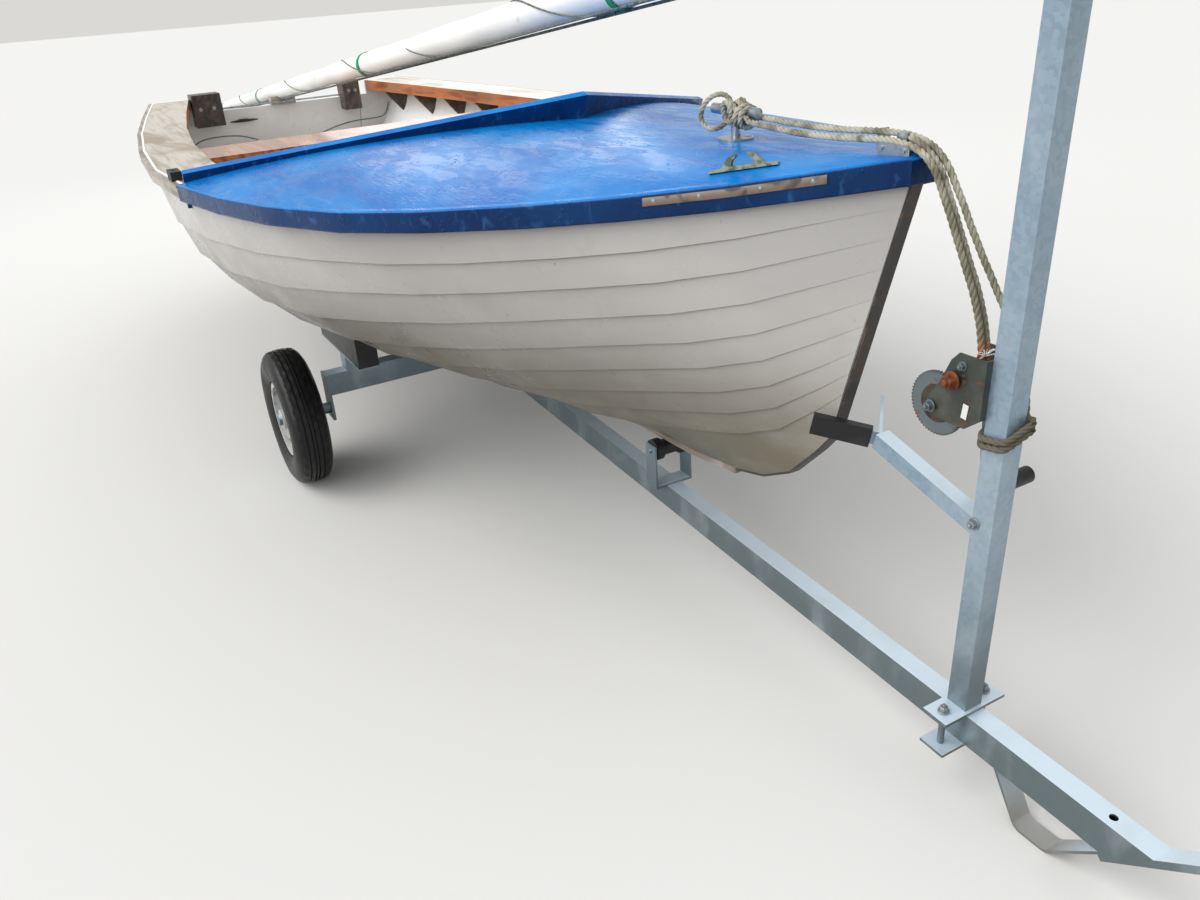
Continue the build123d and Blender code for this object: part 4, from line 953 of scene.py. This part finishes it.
def addDeckEdge():
    share = [i / (deckEdge["count"] - 1) for i in range(deckEdge["count"])]
    along = [deckEdge["aftX"] + (deckEdge["foreX"] - deckEdge["aftX"]) * (2 * t - t * t) for t in share]
    starboard = [edgePlace(x, -1) for x in along]
    port = [edgePlace(x, 1) for x in reversed(along)]
    places = starboard + port
    ways = outwardWays(places)
    bow = (len(starboard) - 1, len(starboard))
    prouds = [deckEdge["bowProud"] if i in bow else deckEdge["proud"] for i in range(len(places))]
    sections = [edgeSection(place, way, proud) for place, way, proud in zip(places, ways, prouds)]
    addPiece("paintedDeckEdge", stripMesh(places, ways, sections), finishes["deck_blue"])


# Rub strips: a flat metal band on each strake under the fairlead, with four screws
rubStrip = {
    "aftX": -0.512, "foreX": -0.279, "count": 16, "top": -0.0045, "foot": -0.0195, "thick": 0.0024,
    "sunk": 0.001, "ease": (0.0008, 0.0006), "corner": 0.003,
    "screws": (0.06, 0.35, 0.65, 0.95),
    "head": ((0.0001, 0.0013), (0.002, 0.0011), (0.0036, 0.0002), (0.0036, -0.0006)),
}


def addRubStrips():
    skin, top, foot = deckEdge["proud"], rubStrip["top"], rubStrip["foot"]
    outer, inner, corner = skin + rubStrip["thick"], skin - rubStrip["sunk"], rubStrip["corner"]
    out, up = rubStrip["ease"]
    section = [
        (inner, top), (outer - out, top - up), (outer, top - corner),
        (outer, foot + corner), (outer - out, foot + up), (inner, foot),
    ]
    last = rubStrip["count"] - 1
    run = rubStrip["foreX"] - rubStrip["aftX"]
    for name, side in (("Port", 1), ("Starboard", -1)):
        places = [edgePlace(rubStrip["aftX"] + run * i / last, side) for i in range(last + 1)]
        ways = [way * -side for way in outwardWays(places)]
        strip = stripMesh(places, ways, [section] * len(places))
        addPiece("rubStrip" + name, strip, extra["strip"])
        heads = []
        for share in rubStrip["screws"]:
            way = ways[round(share * last)]
            place = places[round(share * last)] + way * outer + Vector((0, 0, (top + foot) / 2))
            heads.append(outwards(stood(turnedSolid(rubStrip["head"], smallSides), place, way)))
        addPiece("rubStripScrews" + name, heads, extra["zinc"])


addDeckEdge()
addRubStrips()
print("deck edge painted, rub strips screwed on")


# Inside of the transom: horn cleat, sealed joints, bolts of the quarter blocks and the line from one of them
stern = {
    "faceX": -4.45, "faceZ": 0.395, "rake": 0.0571, "cleat": (-0.2077, 0.797), "cleatHalf": 0.068,
    "cleatSteps": 12, "cleatOut": 0.0165, "hornRise": 0.004, "hornRadius": 0.0068, "hornTaper": 0.62,
    "footSize": (0.0075, 0.027), "footThick": 0.005, "footBevel": 0.001, "footSunk": -0.0005,
    "legY": 0.015, "linePlaces": ((0.3725, 0.7, 0.03), (0.372, 0.601, 0.02)),
    "lineTop": ((-4.383, 0.376, 0.868), (-4.386, 0.3765, 0.85)),
    "leg": ((0.0085, 0.003), (0.0062, 0.008), (0.0062, 0.016)),
    "blockX": -4.3922, "boltRadius": 0.007,
    "bolt": ((1.3, -0.0005), (1.3, 0.001), (1, 0.0016), (0.9, 0.005), (0.3, 0.0068)),
    "bolts": ((-0.4085, 0.8765), (-0.3458, 0.8765), (0.3245, 0.885), (0.3585, 0.885)),
    "bead": 0.0028, "beadOut": 0.0008, "line": 0.0018,
    "joints": (
        ((-0.477, 0.7), (-0.44, 0.726), (-0.36, 0.735), (-0.26, 0.731), (-0.2, 0.716), (-0.158, 0.697)),
        (
            (0.17, 0.69), (0.24, 0.712), (0.359, 0.729), (0.47, 0.727), (0.515, 0.735), (0.54, 0.765),
            (0.55, 0.8),
        ),
    ),
}


# Inner face of the raked transom at a height, so far in front of it
def sternPlace(y, z, ahead=0.0):
    return (stern["faceX"] - stern["rake"] * (z - stern["faceZ"]) + ahead, y, z)


def cleatMeshes():
    y, z = stern["cleat"]
    places, radii = [], []
    for step in range(2 * stern["cleatSteps"] + 1):
        share = step / stern["cleatSteps"] - 1
        ahead = stern["cleatOut"] + stern["hornRise"] * share * share
        places.append(at(*sternPlace(y + stern["cleatHalf"] * share, z, ahead)))
        radii.append(stern["hornRadius"] * (1 - stern["hornTaper"] * share * share))
    wide, high = stern["footSize"]
    oval = [(wide * b, high * a) for a, b in circle(1, smallSides)]
    foot = prism(oval, stern["footThick"], stern["footBevel"])
    foot = stood(foot, at(*sternPlace(y, z, stern["footSunk"])), (1, 0, 0))
    meshes = [tubeMesh("horns", places, radii, 12), foot]
    for side in (1, -1):
        place = at(*sternPlace(y + side * stern["legY"], z))
        meshes.append(stood(turnedSolid(stern["leg"], 16), place, (1, 0, 0)))
    return meshes


def addSternFittings():
    addPiece("transomCleat", cleatMeshes(), finishes["dark_metal"])
    beads = []
    for joint in stern["joints"]:
        line = splineLine([sternPlace(y, z, stern["beadOut"]) for y, z in joint])
        beads.append(tubeMesh("bead", line, stern["bead"], 8))
    addPiece("transomJoints", beads, extra["thread"])
    profile = [(stern["boltRadius"] * share, height) for share, height in stern["bolt"]]
    heads = []
    for y, z in stern["bolts"]:
        heads.append(stood(turnedSolid(profile, smallSides), at(stern["blockX"], y, z), (1, 0, 0)))
    addPiece("quarterBlockBolts", heads, extra["zinc"])
    low = [sternPlace(*place) for place in stern["linePlaces"]]
    line = [at(*place) for place in [*stern["lineTop"], *low]]
    addPiece("quarterLine", tubeMesh("quarterLine", line, stern["line"], 8), extra["thread"])


addSternFittings()
print("stern fittings placed")


# Stemhead roller under the painter: two cheeks and two rollers on pins
stemRoller = {
    "x": (-0.254, -0.207), "z": 1.086, "radius": 0.0062, "waist": 0.005, "pin": 0.0035, "half": 0.021,
    "pinEnd": 0.006, "ease": 0.001, "cheekY": 0.023, "cheek": 0.003, "cheekDrop": 0.026, "cheekBevel": 0.0006,
    "cheekTop": ((-0.197, 1.088), (-0.202, 1.094), (-0.259, 1.094), (-0.264, 1.088)),
}


def addStemRoller():
    half, pin, radius = stemRoller["half"], stemRoller["pin"], stemRoller["radius"]
    end, eased = half + stemRoller["pinEnd"], half - stemRoller["ease"]
    profile = [
        (pin, -end), (pin, -half), (radius, -eased), (stemRoller["waist"], 0),
        (radius, eased), (pin, half), (pin, end),
    ]
    rollers = []
    for x in stemRoller["x"]:
        rollers.append(stood(turnedSolid(profile, smallSides), at(x, 0, stemRoller["z"]), (0, 1, 0)))
    addPiece("stemRollers", rollers, finishes["fittings"])
    top, foot = stemRoller["cheekTop"], stemRoller["z"] - stemRoller["cheekDrop"]
    cheeks = []
    for side in (1, -1):
        outline = [(top[-1][0], foot), (top[0][0], foot), *top]
        cheek = prism(outline, stemRoller["cheek"], stemRoller["cheekBevel"])
        y = side * stemRoller["cheekY"] + stemRoller["cheek"] / 2
        cheek.transform(Matrix.Translation(at(0, y, 0)) @ upright)
        cheeks.append(outwards(cheek))
    addPiece("stemRollerCheeks", cheeks, finishes["fittings"])


addStemRoller()


# Frayed end of the painter at the top of the winch
frayed = {
    "place": (-0.034, -0.004, 0.802), "strands": 16, "seed": 5, "radius": 0.0007, "sides": 5,
    "shares": (0, 0.25, 0.5, 0.75, 1),
}


def addFrayedEnd():
    draw = random.Random(frayed["seed"])
    strands = []
    for _ in range(frayed["strands"]):
        way = Vector((draw.uniform(-0.3, 0.9), draw.uniform(-1, 0.9), draw.uniform(0.5, 1.4))).normalized()
        length = draw.uniform(0.012, 0.026)
        bend = Vector((draw.uniform(-0.3, 0.3), draw.uniform(-0.3, 0.3), -0.4))
        start = at(*frayed["place"])
        line = [start + way * length * t + bend * length * t * t for t in frayed["shares"]]
        strands.append(tubeMesh("strand", line, frayed["radius"], frayed["sides"]))
    addPiece("frayedPainterEnd", strands, extra["label"])


addFrayedEnd()
print("stemhead roller and frayed end made")


# Tyres: ribbed tread with cross cuts, rounded shoulders, beads inside the rim flanges
tyre = {"x": -1.955, "y": 0.686, "radius": 0.207, "segments": 120}
tyreProfile = [
    (0.1025, -0.0375), (0.1165, -0.0378), (0.118, -0.043), (0.135, -0.052), (0.158, -0.0558),
    (0.178, -0.0535), (0.191, -0.047), (0.1975, -0.0415), (0.2005, -0.0365), (0.2025, -0.0355),
    (0.2045, -0.027), (0.2047, -0.0225), (0.2, -0.0215), (0.2, -0.0185), (0.2055, -0.0175),
    (0.2062, -0.0075), (0.2012, -0.0065), (0.2012, -0.0035), (0.2065, -0.0025), (0.207, 0.0),
]
tread = {"from": 0.2015, "cut": 0.0035, "every": 4, "shoulder": 0.0225, "rib": 0.0075}
wheelNuts = {"across": 0.017, "count": 4, "circle": 0.042, "out": 0.0142, "spin": 0.4}


def tyreMesh(side):
    mirrored = [(radius, -y) for radius, y in reversed(tyreProfile[:-1])]
    outline = tyreProfile + mirrored + [(tyreProfile[0][0], 0.0)]
    count = tyre["segments"]
    points = []
    for step in range(count):
        turn = step * math.tau / count
        for radius, y in outline:
            worn = radius > tread["from"]
            shoulder = abs(y) > tread["shoulder"] and worn
            ribbed = tread["rib"] < abs(y) < tread["shoulder"] and worn
            cut = shoulder and step % tread["every"] == 0 or ribbed and step % tread["every"] == 2
            size = radius - (tread["cut"] if cut else 0)
            x, z = tyre["x"] + size * math.cos(turn), tyre["radius"] + size * math.sin(turn)
            points.append(at(x, side * (tyre["y"] + y), z))
    faces = ringFaces(count, len(outline), True)
    return meshOf("tyre", points, [face[:1] + face[:0:-1] if side > 0 else face for face in faces])


def addWheels():
    for name, side in (("port", 1), ("starboard", -1)):
        body = "wheel_" + name
        tyrePiece = addPiece("treadedTyre_" + name, tyreMesh(side), finishes["tyre"], body, 40)
        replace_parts(tyrePiece, "tyre_" + name)
        nut = boltMesh(wheelNuts["across"])
        nut.transform(Matrix.Translation((wheelNuts["circle"], 0, 0)))
        middle = at(tyre["x"], side * (tyre["y"] + wheelNuts["out"]), tyre["radius"])
        place = standing(middle, (0, side, 0), wheelNuts["spin"])
        turn = (0, 0, math.tau / wheelNuts["count"])
        nuts = repeated("wheelNuts", nut, wheelNuts["count"], (0, 0, 0), turn, extra["zinc"], place)
        addPiece("wheelNuts_" + name, nuts, extra["zinc"], body)


addWheels()
print("wheels made")


# Winch: teeth on the gear and pinion, turns of rope on the drum, label, nuts
# Places are x and z, teeth are their count, root radius, width and depth
winch = {
    "drum": (-0.101, 0.708), "pinion": (-0.061, 0.764), "gearY": -0.024, "toothLength": 0.006,
    "drumTeeth": (56, 0.0514, 0.0038, 0.0022), "pinionTeeth": (18, 0.0164, 0.0036, 0.0014),
    "toothRoot": 0.001, "toothTip": 0.28, "wellRadius": 0.032, "wellDepth": 0.0005,
    "ropeY": -0.0125, "ropeRing": 0.0262, "ropeRadius": 0.0046, "ropeTurns": 4, "ropeStep": 0.0088,
    "ropeTwist": 0.7,
    "shaftNutY": -0.0402, "shaftNut": 0.019, "drumBoltY": -0.0382, "drumBolt": 0.013,
    "frameBolt": 0.01, "frameBoltAt": (-0.049, -0.0332, 0.789),
    "label": (-0.037, 0.718), "labelHalf": (0.0065, 0.0135), "labelTurn": -0.12, "labelThick": 0.0004,
}


def winchPlace(name, y):
    return at(winch[name][0], y, winch[name][1])


def toothMesh(radius, width, depth):
    root, tip = radius - winch["toothRoot"], radius + depth
    narrow = width * winch["toothTip"]
    return prism([(root, -width / 2), (tip, -narrow), (tip, narrow), (root, width / 2)], winch["toothLength"])


def addTeeth(piece, name, body):
    count, radius, width, depth = winch[name + "Teeth"]
    tooth, turn = toothMesh(radius, width, depth), (0, 0, math.tau / count)
    place = standing(winchPlace(name, winch["gearY"]), (0, 1, 0))
    teeth = repeated("teeth", tooth, count, (0, 0, 0), turn, finishes["winch_steel"], place)
    addPiece(piece, teeth, finishes["winch_steel"], body)


def addWinch():
    outward = (0, -1, 0)
    addTeeth("drumGearTeeth", "drum", "winch_drum_body")
    well = prism(circle(winch["wellRadius"], 40), winch["wellDepth"])
    well = stood(well, winchPlace("drum", winch["gearY"]), outward)
    addPiece("drumGearWell", well, extra["gearWell"], "winch_drum_body")
    addTeeth("pinionTeeth", "pinion", "winch_crank_body")
    ring = [(x, y, 0.0) for x, y in circle(winch["ropeRing"], 40)]
    ring = tubeMesh("turn", ring, winch["ropeRadius"], 8, True)
    step, turn = (0, 0, winch["ropeStep"]), (0, 0, winch["ropeTwist"])
    place = standing(winchPlace("drum", winch["ropeY"]), (0, 1, 0))
    turns = repeated("drumRope", ring, winch["ropeTurns"], step, turn, finishes["rope"], place)
    addPiece("drumRopeTurns", turns, finishes["rope"], "winch_drum_body")
    nut = stood(boltMesh(winch["shaftNut"]), winchPlace("pinion", winch["shaftNutY"]), outward, 0.3)
    addPiece("crankShaftNut", nut, extra["rust"], "winch_crank_body")
    heads = [
        stood(boltMesh(winch["drumBolt"]), winchPlace("drum", winch["drumBoltY"]), outward, 0.5),
        stood(boltMesh(winch["frameBolt"]), at(*winch["frameBoltAt"]), outward, 0.5),
    ]
    addPiece("winchBolts", heads, finishes["winch_steel"])
    for name, inset, depth, material in (
        ("winchLabelEdge", 0.0, 0.0334, "ink"),
        ("winchLabelFace", 0.0012, 0.0338, "label"),
    ):
        x, z = (half - inset for half in winch["labelHalf"])
        plate = prism([(-x, -z), (x, -z), (x, z), (-x, z)], winch["labelThick"])
        place = winchPlace("label", winch["labelThick"] - depth)
        plate.transform(Matrix.Translation(place) @ upright @ Matrix.Rotation(winch["labelTurn"], 4, "Z"))
        addPiece(name, plate, extra[material])


addWinch()
print("winch detailed")


# Studio: pale floor, even sky, a high and a low soft sun from starboard, a lamp whose gleam lies on the deck
studio = {
    "floor": "#dad9d6", "shade": "#46423c", "sky": "#f5f6f8", "skyStrength": 0.92, "reach": 55,
    "sunWay": (-0.3, -0.66, 0.69), "sunStrength": 1.6, "sunAngle": 45,
    "sideWay": (0.25, -0.9, 0.36), "sideStrength": 1.0, "sideAngle": 40,
    "gleam": (-7.3, 2.2, 2.75), "gleamSize": 2.8, "gleamPower": 34, "aim": (-1.0, -0.3, 1.0),
}


# 1 for rays that show the background: to the camera, in gloss and through glass
def shownRays(tree):
    path = addNode(tree, "ShaderNodeLightPath")
    seen = maths(tree, "MAXIMUM", path.outputs["Is Camera Ray"], path.outputs["Is Glossy Ray"])
    return maths(tree, "MAXIMUM", seen, path.outputs["Is Transmission Ray"])


def addFloor():
    reach = studio["reach"]
    points = [(-reach, -reach, 0), (reach, -reach, 0), (reach, reach, 0), (-reach, reach, 0)]
    floor = bpy.data.objects.new("studioFloor", meshOf("studioFloor", points, [(0, 1, 2, 3)]))
    material, tree, shader = newFinish("studioFloor", studio["floor"], 0.9)
    shader.inputs["Specular IOR Level"].default_value = 0.1
    link(tree, blendColours(tree, shownRays(tree), studio["shade"], studio["floor"]), shader, "Base Color")
    floor.data.materials.append(material)
    bpy.context.scene.collection.objects.link(floor)


def addSky():
    world = bpy.data.worlds.new("studio")
    world.use_nodes = True
    bpy.context.scene.world = world
    tree = world.node_tree
    light = tree.nodes["Background"]
    light.inputs["Color"].default_value = linear(studio["sky"])
    light.inputs["Strength"].default_value = studio["skyStrength"]
    plain = addNode(tree, "ShaderNodeBackground", None, {"Color": linear(studio["floor"]), "Strength": 1.0})
    pair = {0: shownRays(tree), 1: light.outputs[0], 2: plain.outputs[0]}
    chosen = addNode(tree, "ShaderNodeMixShader", None, pair)
    tree.links.new(chosen.outputs[0], tree.nodes["World Output"].inputs["Surface"])


def addLamp(name, lamp, place, target):
    holder = bpy.data.objects.new(name, lamp)
    turned = (target - place).to_track_quat("-Z", "Y").to_matrix().to_4x4()
    holder.matrix_world = Matrix.Translation(place) @ turned
    holder.visible_camera = False
    bpy.context.scene.collection.objects.link(holder)


def addStudio():
    addFloor()
    addSky()
    for name in ("sun", "side"):
        sun = bpy.data.lights.new(name + "Light", "SUN")
        sun.energy = studio[name + "Strength"]
        sun.angle = math.radians(studio[name + "Angle"])
        addLamp(name + "Light", sun, at(*studio[name + "Way"]), at(0, 0, 0))
    gleam = bpy.data.lights.new("deckGleam", "AREA")
    gleam.size = studio["gleamSize"]
    gleam.energy = studio["gleamPower"]
    addLamp("deckGleam", gleam, at(*studio["gleam"]), at(*studio["aim"]))
    bpy.context.scene.view_settings.view_transform = "Standard"


addStudio()
print("studio set")
